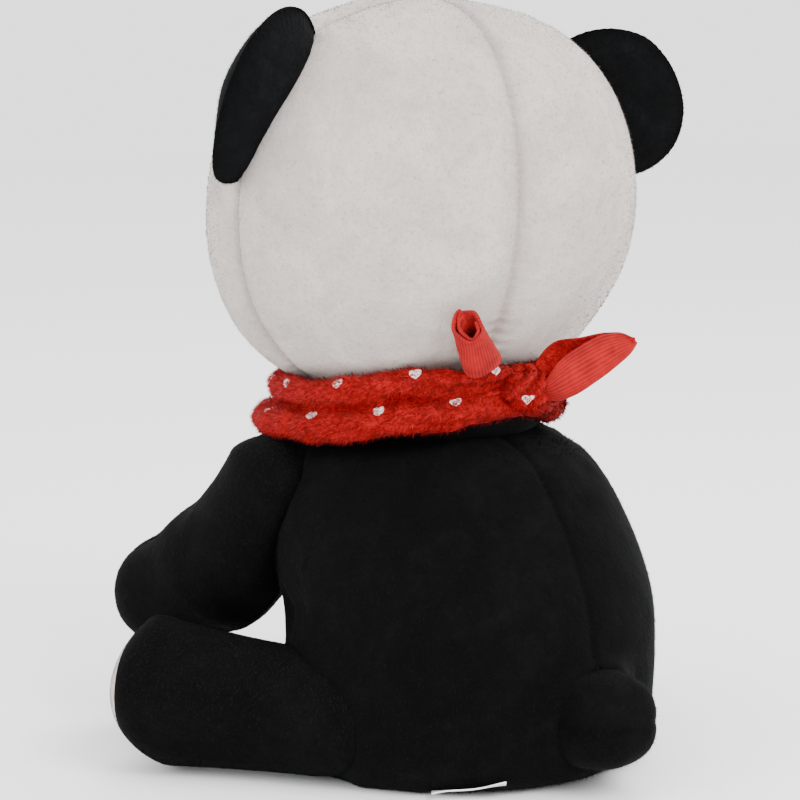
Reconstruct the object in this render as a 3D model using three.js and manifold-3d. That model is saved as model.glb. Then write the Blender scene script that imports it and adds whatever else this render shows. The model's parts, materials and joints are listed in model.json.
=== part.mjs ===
// A seated plush panda with a neckerchief, in millimetres.
// +Z is up, the panda faces -Y and its own left side is +X. The origin is the middle of the flat
// base panel, on the surface that the panda sits on.
//
// Each covering is a set of cut plush panels that meet at sewn seams, round a filling of fibre.
// Limbs, ears, tail and head are sewn on and flex at their roots, so each root is a round end that
// sits in a hollow as wide as its swing needs.
import * as THREE from "three";
import { mergeVertices } from "three/addons/utils/BufferGeometryUtils.js";
import Module from "manifold-3d";

const wasm = await Module();
wasm.setup();

// ---- Cloth and gaps ----
const SKIN = 2.2; // plush cloth with its pile
const SEAM = 0.5; // between two panels of one cover
const EASE = 0.4; // between a filling and its cover
const REST = 0.4; // between pieces that lie on each other
const SWING = 1.1; // round a root that turns in its hollow
const ROOM = 8; // round the same root in the torso's filling

// ---- Torso ----
const TORSO_HEIGHT = 124;
const BASE_RADIUS = 50;
const BELLY_HALF_WIDTH = 68;
const BELLY_HALF_DEPTH = 65.5;
const BELLY_HEIGHT = TORSO_HEIGHT - 68;
const SHOULDER_RADIUS = 50;
const SHOULDER_HEIGHT = TORSO_HEIGHT - 14;
const NECK_FORWARD = 18; // the neck's axis, ahead of the middle of the base
const LEAN_START = BELLY_HEIGHT - 6; // the height where the torso begins to lean forward
const BELLY_PATCH_ANGLE = 44; // half the arc of the pale belly panel, in degrees
const BELLY_PATCH_TOP = TORSO_HEIGHT - 20;
const PELLET_BAG_RADIUS = 30;
const PELLET_BAG_HEIGHT = 24;
const PELLET_BAG_BACK = 18; // behind the middle of the base
const LABEL_LENGTH = 26;
const LABEL_WIDTH = 15;
const LABEL_THICKNESS = 0.8;
const LABEL_SIDE_ANGLE = 42; // from straight back towards the left side, in degrees
const LABEL_SHOWS = 8; // how far the label stands out past the flat base

// ---- Neck and head ----
const NECK_BALL_RADIUS = 20;
const NECK_LIFT = 3; // the neck ball's middle above the torso's top
const HEAD_HALF_WIDTH = 78.5;
const HEAD_HALF_DEPTH = 68;
const HEAD_HALF_HEIGHT = 76;
const HEAD_POWER = 2.15; // 2 is an ellipsoid, more is squarer
const CHEEK = 0.03; // how much wider the lower front of the head is
const HEAD_FORWARD = 7.5; // the head's middle, ahead of the neck's axis
const HEAD_GAP = 2.5; // between the torso's top and the head's underside
const HEAD_TURN = -11; // degrees about +Z, towards the panda's right
const HEAD_TILT = -4; // degrees about the head's own +X, looking up
const HEAD_ROLL = -2; // degrees about the head's own +Y, towards its right shoulder

// ---- Ears ----
const EAR_HALF_LENGTH = 32.5; // along the seam
const EAR_HALF_HEIGHT = 28.5;
const EAR_HALF_THICKNESS = 6.5;
const EAR_SEAM_ANGLE = 25; // height of the ear's middle on the head's side, in degrees
const EAR_BACK = { left: 9, right: 0 }; // how far behind the side seam each ear is sewn on
const EAR_LEAN = 38; // degrees backwards from the seam's own plane
const EAR_SINK = 23; // how much of the ear's height the head's surface takes off
const EAR_ROOM = 2.8; // between the ear's root and the head, for it to fold
const EAR_SKIN = 2;

// ---- Face ----
const EYE_SIDE = 29;
const EYE_HEIGHT = 4;
const PATCH_HALF_WIDTH = 14;
const PATCH_HALF_HEIGHT = 19;
const PATCH_SLANT = 28; // degrees, upper end towards the nose
const PATCH_THICKNESS = 1.6;
const EYE_RADIUS = 7.5;
const EYE_DOME = 4.5;
const NOSE_HEIGHT = -14;
const NOSE_HALF_WIDTH = 11;
const NOSE_HALF_HEIGHT = 7.5;
const NOSE_DOME = 7;
const SHANK_RADIUS = 2;
const SHANK_LENGTH = 15;
const WASHER_RADIUS = 7;
const WASHER_THICKNESS = 1.6;
const THREAD_RADIUS = 0.8;
const MOUTH_HALF_WIDTH = 13;
const MOUTH_DROP = 15; // from the nose's middle to the middle of the mouth
const MOUTH_CURL = 4;

// ---- Arms, the left one; the right one is its mirror image ----
const SHOULDER_OUT = 48; // the root's middle from the torso's axis
const SHOULDER_ANGLE = 30; // from +X towards the front, in degrees
const ARM_ROOT_RADIUS = 24;
const SHOULDER_Z = TORSO_HEIGHT - 6 - ARM_ROOT_RADIUS;
const ARM_MIDDLE_RADIUS = 22;
const ARM_END_RADIUS = 20;
const HAND = new THREE.Vector3(60, -105, TORSO_HEIGHT - 72); // the middle of the hand's round end
const ELBOW_SAG = 5; // the arm's middle below the straight line from root to hand
const ARM_LIFT = [0, 30]; // degrees

// ---- Legs, the left one ----
const LEG_ROOT_RADIUS = 25;
const HIP = new THREE.Vector3(55, 1, LEG_ROOT_RADIUS + 0.5);
const LEG_SPLAY = 33; // degrees outwards from straight ahead
const LEG_LENGTH = 74; // from the root's middle to the foot's middle
const LEG_MIDDLE_RADIUS = 24.5;
const FOOT_RADIUS = 27.5;
const SOLE_BULGE = 18; // how far the sole stands out from the foot's middle
const SOLE_START = 9; // the sole's seam, from the foot's middle
const LEG_SWING = [-12, 20]; // degrees

// ---- Tail ----
const TAIL_HALF_WIDTH = 17;
const TAIL_HALF_HEIGHT = 16.5;
const TAIL_LENGTH = 46;
const TAIL_Z = 26.5;
const TAIL_OUT = 26; // how far the tail's tip stands out from the torso
const TAIL_ROOM = 3.6; // between the tail's root and the torso, for it to wag
const TAIL_POWER = 2.8;

// ---- Neckerchief ----
const SCARF_FORWARD = 30;
const SCARF_TILT = 5; // degrees, higher at the back
const SCARF_TURN = -3; // degrees, so the knot lies left of the middle of the back
const SCARF_Z = TORSO_HEIGHT + 2.5;
const FOLD_RADIUS = SHOULDER_RADIUS + 2;
const LOWER_FOLD = { out: 0, up: -2, halfWidth: 8, halfHeight: 4.5, slant: 0 };
const UPPER_FOLD = { out: 2.5, up: 7.6, halfWidth: 7.5, halfHeight: 3, slant: 30 };
const KNOT_RADII = [8.5, 7, 9];
const KNOT_UP = 5;
const KNOT_OUT = FOLD_RADIUS + 4; // the knot's middle from the ring's axis
const DRAPE_RADIUS = BELLY_HALF_DEPTH - 16;
const DRAPE_THICKNESS = 2.4;
const DRAPE_HALF_ANGLE = 26; // degrees at its top edge
const DRAPE_TOP = SCARF_Z - 13.5;
const DRAPE_POINT = SCARF_Z - 56.5;
const END_BACK = HEAD_HALF_DEPTH + 3; // the ends behind the ring's middle, clear of the head
const ROLLED_END = { root: [27, END_BACK, 24], tip: [41, END_BACK + 3.5, 49.5], radius: 7 };
const OPEN_END = { root: [-3, END_BACK - 3, 20.5], tip: [-29, END_BACK + 19, 38.5], radii: [9.5, 3.5] };

// ---- Fineness ----
const AROUND_HEAD = 22;
const UP_HEAD = 12;
const AROUND_TORSO = 22;
const AROUND_LIMB = 12;
const SWEEP_COPIES = 3; // positions of a limb that its hollow is cut for

const rad = THREE.MathUtils.degToRad;
const smooth = THREE.MathUtils.smoothstep;
const v3 = (x, y, z) => new THREE.Vector3(x, y, z);
const Z_AXIS = v3(0, 0, 1);

// ---- Solids ----

// A closed geometry as a manifold-3d solid, with shared corners merged.
function solid(geometry) {
  const bare = geometry.index ? geometry.toNonIndexed() : geometry.clone();
  bare.deleteAttribute("normal");
  bare.deleteAttribute("uv");
  const merged = mergeVertices(bare, 1e-3);
  return new wasm.Manifold(
    new wasm.Mesh({
      numProp: 3,
      vertProperties: new Float32Array(merged.attributes.position.array),
      triVerts: new Uint32Array(merged.index.array),
    }),
  );
}

function geometryOf(shape) {
  const mesh = shape.getMesh();
  const geometry = new THREE.BufferGeometry();
  const corners = new Float32Array(mesh.vertProperties);
  geometry.setAttribute("position", new THREE.BufferAttribute(corners, 3));
  geometry.setIndex(new THREE.BufferAttribute(new Uint32Array(mesh.triVerts), 1));
  return geometry;
}

// Moves each point of a geometry with a function that changes the vector it is given.
function reshaped(geometry, change) {
  const places = geometry.attributes.position;
  const p = v3();
  for (let i = 0; i < places.count; i++) {
    p.fromBufferAttribute(places, i);
    change(p);
    places.setXYZ(i, p.x, p.y, p.z);
  }
  return geometry;
}

// Keeps the side of a shape that the plane's normal points to.
function keep(shape, normal, point, gap = SEAM / 2) {
  const n = normal.clone().normalize();
  return shape.trimByPlane([n.x, n.y, n.z], n.dot(point) + gap);
}

// One solid holding every position of a limb that turns about the middle of its round root.
function swept(geometry, pivot, rootRadius, axis, [from, to]) {
  let whole = solid(pillow(rootRadius, rootRadius, rootRadius).translate(...pivot));
  for (let i = 0; i < SWEEP_COPIES; i++) {
    const angle = rad(from + ((to - from) * i) / (SWEEP_COPIES - 1));
    const turned = geometry.clone().translate(...pivot.clone().negate());
    turned.applyMatrix4(new THREE.Matrix4().makeRotationAxis(axis, angle)).translate(...pivot);
    whole = whole.add(solid(turned));
  }
  return whole;
}

// A turning limb in the middle of its range, grown enough to hold its root in every position.
function roomFor(grownGeometry, pivot, axis, [from, to]) {
  const turned = grownGeometry.translate(...pivot.clone().negate());
  turned.applyMatrix4(new THREE.Matrix4().makeRotationAxis(axis, rad((from + to) / 2)));
  return solid(turned.translate(...pivot));
}

// An ellipsoid, or with a power above 2 a squarer one, with its poles on Z.
function pillow(halfX, halfY, halfZ, power = 2, around = 14, up = 8) {
  const ball = new THREE.SphereGeometry(1, around, up).rotateX(Math.PI / 2);
  return reshaped(ball, (p) => {
    const size = Math.pow(
      Math.pow(Math.abs(p.x), power) +
        Math.pow(Math.abs(p.y), power) +
        Math.pow(Math.abs(p.z), power),
      -1 / power,
    );
    p.set(p.x * size * halfX, p.y * size * halfY, p.z * size * halfZ);
  });
}

// A cylinder along Z, from one height to another.
function rod(radius, from, to, sides = 16) {
  return new THREE.CylinderGeometry(radius, radius, to - from, sides)
    .rotateX(Math.PI / 2)
    .translate(0, 0, (from + to) / 2);
}

// Stands a geometry made along +Z at a point, with its +Z along a direction and its +X level.
function stood(geometry, point, direction) {
  const z = direction.clone().normalize();
  const x = v3().crossVectors(Z_AXIS, z).normalize();
  const y = v3().crossVectors(z, x);
  return geometry.applyMatrix4(new THREE.Matrix4().makeBasis(x, y, z).setPosition(point));
}

// A round limb along a curve. Its two ends are half ellipses about the curve's two end points.
function limb(curve, radii, { grow = 0, rootReach = radii[0], endReach = radii[2] }) {
  const length = curve.getLength();
  const [root, middle, end] = radii.map((r) => r + grow);
  const outline = [];
  const ARC = 4;
  const BODY = 4;
  for (let i = 0; i < ARC; i++) {
    const a = (Math.PI / 2) * (i / ARC);
    outline.push([-(rootReach + grow) * Math.cos(a), root * Math.sin(a)]);
  }
  for (let i = 0; i <= BODY; i++) {
    const t = i / BODY;
    const r = root * (1 - t) * (1 - 2 * t) + 4 * middle * t * (1 - t) + end * t * (2 * t - 1);
    outline.push([length * t, r]);
  }
  for (let i = ARC - 1; i >= 0; i--) {
    const a = (Math.PI / 2) * (i / ARC);
    outline.push([length + (endReach + grow) * Math.cos(a), end * Math.sin(a)]);
  }
  const profile = outline.map(([s, r]) => new THREE.Vector2(r, s));
  profile[0].x = 0;
  profile[profile.length - 1].x = 0;
  return reshaped(new THREE.LatheGeometry(profile, AROUND_LIMB), (p) => {
    const t = THREE.MathUtils.clamp(p.y / length, 0, 1);
    const along = curve.getTangentAt(t);
    const side = v3().crossVectors(along, Z_AXIS).normalize();
    const up = v3().crossVectors(side, along);
    const past = p.y - t * length;
    const [x, z] = [p.x, p.z];
    p.copy(curve.getPointAt(t)).addScaledVector(along, past);
    p.addScaledVector(side, x).addScaledVector(up, z);
  });
}

// ---- Materials ----
const cloth = (color) => new THREE.MeshStandardMaterial({ color, roughness: 0.95, metalness: 0 });
const WHITE_PLUSH = cloth(0xe4dfd9);
const BLACK_PLUSH = cloth(0x17181a);
const SOLE_PLUSH = cloth(0xdcd5d2);
const RED_FLEECE = cloth(0xc02425);
const FIBRE = cloth(0xf2f1ec);
const PELLET_CLOTH = cloth(0xd9d4c6);
const LABEL_SATIN = new THREE.MeshStandardMaterial({ color: 0xf0f0ee, roughness: 0.5 });
const THREAD = cloth(0x1a1716);
const BLACK_PLASTIC = new THREE.MeshStandardMaterial({ color: 0x0c0b0b, roughness: 0.15 });
const WASHER_PLASTIC = new THREE.MeshStandardMaterial({ color: 0xe8e6de, roughness: 0.6 });

function add(group, name, shape, material) {
  const mesh = new THREE.Mesh(geometryOf(shape), material);
  mesh.name = name;
  group.add(mesh);
  return mesh;
}

// Adds a left piece and its mirror image on the right.
function addPair(group, kind, piece, shape, material) {
  const left = add(group, `${kind}_left${piece}`, shape, material);
  const right = new THREE.Mesh(left.geometry, material);
  right.name = `${kind}_right${piece}`;
  right.scale.x = -1;
  group.add(right);
}

// The mirror image of a solid, across the panda's middle plane.
function mirrored(shape) {
  const geometry = geometryOf(shape).scale(-1, 1, 1);
  const corners = geometry.index.array;
  for (let i = 0; i < corners.length; i += 3) {
    [corners[i], corners[i + 1]] = [corners[i + 1], corners[i]];
  }
  return solid(geometry);
}

// ---- Torso shape ----

function torsoOutline(grow) {
  const path = new THREE.Path();
  const top = TORSO_HEIGHT + grow;
  const belly = BELLY_HALF_WIDTH + grow;
  const shoulder = SHOULDER_RADIUS + grow;
  path.moveTo(BASE_RADIUS + grow, -grow);
  path.bezierCurveTo(BASE_RADIUS + 15 + grow, -grow, belly, BELLY_HEIGHT * 0.4, belly, BELLY_HEIGHT);
  const chest = SHOULDER_HEIGHT - 19;
  path.bezierCurveTo(belly, BELLY_HEIGHT + 34, shoulder + 8, chest, shoulder, SHOULDER_HEIGHT);
  path.bezierCurveTo(shoulder - 4, SHOULDER_HEIGHT + 7, shoulder * 0.6, top, 0, top);
  const points = path.getPoints(5);
  points[points.length - 1].x = 0;
  return [new THREE.Vector2(0, -grow), ...points];
}

const torsoLean = (z) => -NECK_FORWARD * smooth(z, LEAN_START, SHOULDER_HEIGHT + 8);

function torso(grow) {
  const shape = new THREE.LatheGeometry(torsoOutline(grow), AROUND_TORSO).rotateX(Math.PI / 2);
  const depth = BELLY_HALF_DEPTH / BELLY_HALF_WIDTH;
  return reshaped(shape, (p) => {
    const share = THREE.MathUtils.lerp(depth, 1, smooth(p.z, BELLY_HEIGHT, SHOULDER_HEIGHT));
    p.y = -p.y * share + torsoLean(p.z);
    p.x = -p.x;
  });
}

// ---- Places that follow from the sizes ----
const neck = v3(0, -NECK_FORWARD, TORSO_HEIGHT + NECK_LIFT);
const headMiddle = v3(0, -NECK_FORWARD - HEAD_FORWARD, TORSO_HEIGHT + HEAD_GAP + HEAD_HALF_HEIGHT);
const shoulder = v3(
  SHOULDER_OUT * Math.cos(rad(SHOULDER_ANGLE)),
  torsoLean(SHOULDER_Z) - SHOULDER_OUT * Math.sin(rad(SHOULDER_ANGLE)),
  SHOULDER_Z,
);

// ---- Arms ----
const elbow = shoulder.clone().lerp(HAND, 0.5).addScaledVector(Z_AXIS, -ELBOW_SAG * 2);
const armCurve = new THREE.QuadraticBezierCurve3(shoulder, elbow, HAND);
const armRadii = [ARM_ROOT_RADIUS, ARM_MIDDLE_RADIUS, ARM_END_RADIUS];
const armReach = HAND.clone().sub(shoulder);
const armAxis = v3().crossVectors(armReach, Z_AXIS).normalize();
const arm = (grow) => limb(armCurve, armRadii, { grow });
const armRoom = roomFor(arm(ROOM), shoulder, armAxis, ARM_LIFT);
const armHollow = swept(arm(SWING), shoulder, ARM_ROOT_RADIUS + 2 * SWING, armAxis, ARM_LIFT);

// ---- Legs ----
const legAhead = v3(Math.sin(rad(LEG_SPLAY)), -Math.cos(rad(LEG_SPLAY)), 0);
const footMiddle = HIP.clone().addScaledVector(legAhead, LEG_LENGTH).setZ(FOOT_RADIUS);
const legCurve = new THREE.QuadraticBezierCurve3(
  HIP,
  HIP.clone().addScaledVector(legAhead, LEG_LENGTH / 2),
  footMiddle,
);
const legRadii = [LEG_ROOT_RADIUS, LEG_MIDDLE_RADIUS, FOOT_RADIUS];
const legOut = v3(Math.cos(rad(LEG_SPLAY)), Math.sin(rad(LEG_SPLAY)), 0);
// The leg swings up and outwards together, so its axis is half way between level and upright.
const legAxis = legOut.clone().negate().add(Z_AXIS).normalize();
const leg = (grow) => limb(legCurve, legRadii, { grow, endReach: SOLE_BULGE });
const legRoom = roomFor(leg(ROOM), HIP, legAxis, LEG_SWING);
const legHollow = swept(leg(SWING), HIP, LEG_ROOT_RADIUS + 2 * SWING, legAxis, LEG_SWING);

// ---- Tail ----
const torsoBack = BELLY_HALF_DEPTH - 3;
const tailMiddle = v3(0, torsoBack + TAIL_OUT - TAIL_LENGTH / 2, TAIL_Z);
const tail = (grow) =>
  pillow(
    TAIL_HALF_WIDTH + grow,
    TAIL_LENGTH / 2 + grow,
    TAIL_HALF_HEIGHT + grow,
    TAIL_POWER,
  ).translate(tailMiddle.x, tailMiddle.y, tailMiddle.z);

// ---- Pieces of the torso ----
function buildTorso(group) {
  const neckHollow = solid(pillow(...Array(3).fill(NECK_BALL_RADIUS + SWING)).translate(...neck));
  const bothSides = (shape) => shape.add(mirrored(shape));
  const hollows = bothSides(armHollow.add(legHollow)).add(neckHollow);
  const rooms = bothSides(armRoom.add(legRoom)).add(neckHollow);
  const baseHole = solid(rod(BASE_RADIUS, -5, SKIN + EASE, AROUND_TORSO));
  const labelAway = v3(Math.sin(rad(LABEL_SIDE_ANGLE)), Math.cos(rad(LABEL_SIDE_ANGLE)), 0);
  const label = (grow, below = 0) => {
    const thick = LABEL_THICKNESS + 2 * grow + below;
    const box = new THREE.BoxGeometry(LABEL_LENGTH + 2 * grow, LABEL_WIDTH + 2 * grow, thick);
    box.rotateZ(-rad(LABEL_SIDE_ANGLE));
    const middle = labelAway.clone().multiplyScalar(BASE_RADIUS + LABEL_SHOWS - LABEL_WIDTH / 2);
    return solid(box.translate(middle.x, middle.y, REST + (LABEL_THICKNESS - below) / 2));
  };
  const labelNotch = label(REST, 5);
  const cover = solid(torso(0))
    .subtract(solid(torso(-SKIN)))
    .subtract(hollows)
    .subtract(baseHole)
    .subtract(labelNotch);

  // The pale belly panel is a wedge of the cover's front, below the chest.
  const left = v3(Math.cos(rad(BELLY_PATCH_ANGLE)), Math.sin(rad(BELLY_PATCH_ANGLE)), 0);
  const middle = v3(0, 0, 0);
  const patchTop = v3(0, 0, BELLY_PATCH_TOP);
  let belly = keep(cover, v3(-left.x, -left.y, 0), middle);
  belly = keep(belly, v3(left.x, -left.y, 0), middle);
  belly = keep(belly, v3(0, 0, -1), patchTop);
  let beside = keep(solid(torso(5)), v3(-left.x, -left.y, 0), middle, -SEAM / 2);
  beside = keep(beside, v3(left.x, -left.y, 0), middle, -SEAM / 2);
  beside = keep(beside, v3(0, 0, -1), patchTop, -SEAM / 2);
  const chestAndBack = cover.subtract(beside);
  add(group, "torso_left_panel", keep(chestAndBack, v3(1, 0, 0), middle), BLACK_PLUSH);
  add(group, "torso_right_panel", keep(chestAndBack, v3(-1, 0, 0), middle), BLACK_PLUSH);
  add(group, "belly_panel", belly, WHITE_PLUSH);

  const basePanel = solid(rod(BASE_RADIUS - SEAM, 0, SKIN, AROUND_TORSO))
    .subtract(labelNotch)
    .subtract(hollows);
  add(group, "base_panel", basePanel, BLACK_PLUSH);
  add(group, "care_label", label(0), LABEL_SATIN);

  const bagMiddle = SKIN + EASE + PELLET_BAG_HEIGHT / 2;
  const bag = (grow) =>
    pillow(
      PELLET_BAG_RADIUS + grow,
      PELLET_BAG_RADIUS + grow,
      PELLET_BAG_HEIGHT / 2 + grow,
      2.4,
    ).translate(0, PELLET_BAG_BACK, bagMiddle);
  const filling = solid(torso(-SKIN - EASE))
    .subtract(rooms)
    .subtract(solid(bag(EASE)))
    .subtract(solid(rod(PELLET_BAG_RADIUS * 0.6, -5, bagMiddle).translate(0, PELLET_BAG_BACK, 0)));
  add(group, "torso_filling", filling, FIBRE);
  add(group, "pellet_bag", solid(bag(0)).subtract(rooms), PELLET_CLOTH);
  add(group, "neck_filling", solid(pillow(...Array(3).fill(NECK_BALL_RADIUS)).translate(...neck)), FIBRE);
}

// ---- Pieces of the limbs ----
function buildArms(group) {
  const cover = solid(arm(0)).subtract(solid(arm(-SKIN)));
  // The arm's seam runs over its top and under its bottom, along its own length.
  const side = v3().crossVectors(armReach, Z_AXIS).normalize();
  addPair(group, "arm", "_outer_panel", keep(cover, side.clone().negate(), shoulder), BLACK_PLUSH);
  addPair(group, "arm", "_inner_panel", keep(cover, side, shoulder), BLACK_PLUSH);
  addPair(group, "arm", "_filling", solid(arm(-SKIN - EASE)), FIBRE);
}

function buildLegs(group) {
  const cover = solid(leg(0)).subtract(solid(leg(-SKIN)));
  const soleSeam = footMiddle.clone().addScaledVector(legAhead, SOLE_START);
  const tube = keep(cover, legAhead.clone().negate(), soleSeam);
  addPair(group, "leg", "_outer_panel", keep(tube, legOut, HIP), BLACK_PLUSH);
  addPair(group, "leg", "_inner_panel", keep(tube, legOut.clone().negate(), HIP), BLACK_PLUSH);
  addPair(group, "leg", "_sole", keep(cover, legAhead, soleSeam), SOLE_PLUSH);
  addPair(group, "leg", "_filling", solid(leg(-SKIN - EASE)), FIBRE);
}

function buildTail(group) {
  const clear = solid(torso(TAIL_ROOM));
  const cover = solid(tail(0)).subtract(solid(tail(-SKIN))).subtract(clear);
  add(group, "tail_upper_panel", keep(cover, Z_AXIS, tailMiddle), BLACK_PLUSH);
  add(group, "tail_lower_panel", keep(cover, v3(0, 0, -1), tailMiddle), BLACK_PLUSH);
  add(group, "tail_filling", solid(tail(-SKIN - EASE)).subtract(clear), FIBRE);
}

// ---- Head, in its own frame about its middle ----
function head(grow) {
  const shape = pillow(
    HEAD_HALF_WIDTH + grow,
    HEAD_HALF_DEPTH + grow,
    HEAD_HALF_HEIGHT + grow,
    HEAD_POWER,
    AROUND_HEAD,
    UP_HEAD,
  );
  return reshaped(shape, (p) => {
    p.x *= 1 + cheekAt(p.y, p.z);
  });
}

const cheekAt = (y, z) =>
  CHEEK * smooth(-y, -HEAD_HALF_DEPTH * 0.5, HEAD_HALF_DEPTH * 0.6) * smooth(-z, -20, HEAD_HALF_HEIGHT * 0.7);

// The point of the face at a side and height, and the way that the face looks there.
function facePoint(x, z, grow = 0) {
  const [a, b, c] = [HEAD_HALF_WIDTH, HEAD_HALF_DEPTH, HEAD_HALF_HEIGHT].map((h) => h + grow);
  const level = (y) => x / (a * (1 + cheekAt(y, z)));
  let y = -b;
  for (let i = 0; i < 8; i++) {
    const left = 1 - Math.pow(Math.abs(level(y)), HEAD_POWER) - Math.pow(Math.abs(z / c), HEAD_POWER);
    y = -b * Math.pow(Math.max(left, 0), 1 / HEAD_POWER);
  }
  return v3(x, y, z);
}

function faceNormal(x, z) {
  const STEP = 1;
  const across = facePoint(x + STEP, z).sub(facePoint(x - STEP, z));
  const upwards = facePoint(x, z + STEP).sub(facePoint(x, z - STEP));
  return v3().crossVectors(across, upwards).normalize();
}

// A plastic eye or nose: a low dome on a shank, which a washer grips behind the cloth.
function button(halfWidth, halfHeight, dome, lift) {
  const outline = [new THREE.Vector2(0, lift - SHANK_LENGTH)];
  outline.push(new THREE.Vector2(SHANK_RADIUS, lift - SHANK_LENGTH));
  outline.push(new THREE.Vector2(SHANK_RADIUS, lift));
  const ARC = 4;
  for (let i = 0; i <= ARC; i++) {
    const a = (Math.PI / 2) * (i / ARC);
    outline.push(new THREE.Vector2(halfWidth * Math.cos(a), lift + dome * Math.sin(a)));
  }
  outline[outline.length - 1].x = 0;
  const shape = new THREE.LatheGeometry(outline, 14).rotateX(Math.PI / 2);
  return reshaped(shape, (p) => {
    const flange = smooth(Math.hypot(p.x, p.y), SHANK_RADIUS, SHANK_RADIUS * 1.5);
    p.y *= THREE.MathUtils.lerp(1, halfHeight / halfWidth, flange);
  });
}

function washer(depth) {
  const ring = solid(rod(WASHER_RADIUS, -depth - WASHER_THICKNESS, -depth));
  return ring.subtract(solid(rod(SHANK_RADIUS + REST, -depth - WASHER_THICKNESS - 1, -depth + 1)));
}

const inPlace = (shape, point, direction) => solid(stood(geometryOf(shape), point, direction));

function buildFace(group, cover, filling) {
  const eyeSpot = facePoint(EYE_SIDE, EYE_HEIGHT);
  const eyeWay = faceNormal(EYE_SIDE, EYE_HEIGHT);
  const noseSpot = facePoint(0, NOSE_HEIGHT);
  const noseWay = faceNormal(0, NOSE_HEIGHT);
  const eyeLift = PATCH_THICKNESS + 2 * REST;
  const noseLift = REST;
  const WASHER_DEPTH = SKIN + 2.4;

  // The cloth patch round each eye is a slanted oval of a thin layer lying on the face.
  const layer = solid(head(REST + PATCH_THICKNESS)).subtract(solid(head(REST)));
  const oval = rod(1, 0, HEAD_HALF_DEPTH + 20, 24)
    .scale(PATCH_HALF_WIDTH, PATCH_HALF_HEIGHT, 1)
    .rotateZ(rad(PATCH_SLANT))
    .rotateX(Math.PI / 2)
    .translate(EYE_SIDE, 0, EYE_HEIGHT);
  const shankHole = (spot, way) =>
    solid(stood(rod(SHANK_RADIUS + REST, -SHANK_LENGTH, 10, 12), spot, way));
  const pocket = (spot, way) =>
    solid(stood(rod(WASHER_RADIUS + 1, -SHANK_LENGTH - 1, 10, 16), spot, way));
  const eyeHole = shankHole(eyeSpot, eyeWay);
  const noseHole = shankHole(noseSpot, noseWay);
  const eyePocket = pocket(eyeSpot, eyeWay);

  addPair(group, "eye_patch", "", layer.intersect(solid(oval)).subtract(eyeHole), BLACK_PLUSH);
  const eye = solid(stood(button(EYE_RADIUS, EYE_RADIUS, EYE_DOME, eyeLift), eyeSpot, eyeWay));
  addPair(group, "eye", "", eye, BLACK_PLASTIC);
  addPair(group, "eye_washer", "", inPlace(washer(WASHER_DEPTH), eyeSpot, eyeWay), WASHER_PLASTIC);
  const nose = solid(stood(button(NOSE_HALF_WIDTH, NOSE_HALF_HEIGHT, NOSE_DOME, noseLift), noseSpot, noseWay));
  add(group, "nose", nose, BLACK_PLASTIC);
  add(group, "nose_washer", inPlace(washer(WASHER_DEPTH), noseSpot, noseWay), WASHER_PLASTIC);

  // The mouth is one line of thread down from the nose and a curved one across its end.
  const thread = (points) => {
    const round = new THREE.Shape().absarc(0, 0, THREAD_RADIUS, 0, Math.PI * 2);
    const lift = THREAD_RADIUS + REST;
    const line = new THREE.CatmullRomCurve3(points.map(([x, z]) => facePoint(x, z, lift)));
    return solid(
      new THREE.ExtrudeGeometry(round, { extrudePath: line, steps: 10, curveSegments: 3, bevelEnabled: false }),
    );
  };
  const mouthZ = NOSE_HEIGHT - MOUTH_DROP;
  const across = [-1, -0.5, 0, 0.5, 1].map((t) => [
    t * MOUTH_HALF_WIDTH,
    mouthZ - MOUTH_CURL * Math.sin(Math.PI * Math.abs(t) ** 0.8) + MOUTH_CURL * 0.5 * t * t,
  ]);
  const down = [
    [0, NOSE_HEIGHT - NOSE_HALF_HEIGHT - 1.5],
    [0, mouthZ + 2],
    [0, mouthZ],
  ];
  add(group, "mouth_stitching", thread(across).add(thread(down)), THREAD);

  return {
    cover: cover.subtract(eyeHole).subtract(mirrored(eyeHole)).subtract(noseHole),
    filling: filling
      .subtract(eyePocket)
      .subtract(mirrored(eyePocket))
      .subtract(pocket(noseSpot, noseWay)),
  };
}

// An ear's frame on the left of the head: along the seam, away from the head, and through it.
function earFrame(behind) {
  const a = rad(EAR_SEAM_ANGLE);
  const around = Math.pow(Math.cos(a), HEAD_POWER) + Math.pow(Math.sin(a), HEAD_POWER);
  const left = 1 - Math.pow(behind / HEAD_HALF_DEPTH, HEAD_POWER);
  const size = Math.pow(left / around, 1 / HEAD_POWER);
  const spot = v3(HEAD_HALF_WIDTH * size * Math.cos(a), behind, HEAD_HALF_HEIGHT * size * Math.sin(a));
  const away = v3(Math.cos(a), 0, Math.sin(a));
  const along = v3(-Math.sin(a), 0, Math.cos(a));
  const height = away.multiplyScalar(Math.cos(rad(EAR_LEAN))).add(v3(0, Math.sin(rad(EAR_LEAN)), 0));
  const through = v3().crossVectors(along, height);
  return { spot, along, height, through };
}

const earPlaces = { left: earFrame(EAR_BACK.left), right: earFrame(EAR_BACK.right) };

function ear(place, grow) {
  const { spot, along, height, through } = place;
  const flat = pillow(
    EAR_HALF_LENGTH + grow,
    EAR_HALF_HEIGHT + grow,
    EAR_HALF_THICKNESS + grow,
    2.1,
    16,
    8,
  ).translate(0, EAR_HALF_HEIGHT - EAR_SINK, 0);
  return flat.applyMatrix4(new THREE.Matrix4().makeBasis(along, height, through).setPosition(spot));
}

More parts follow.
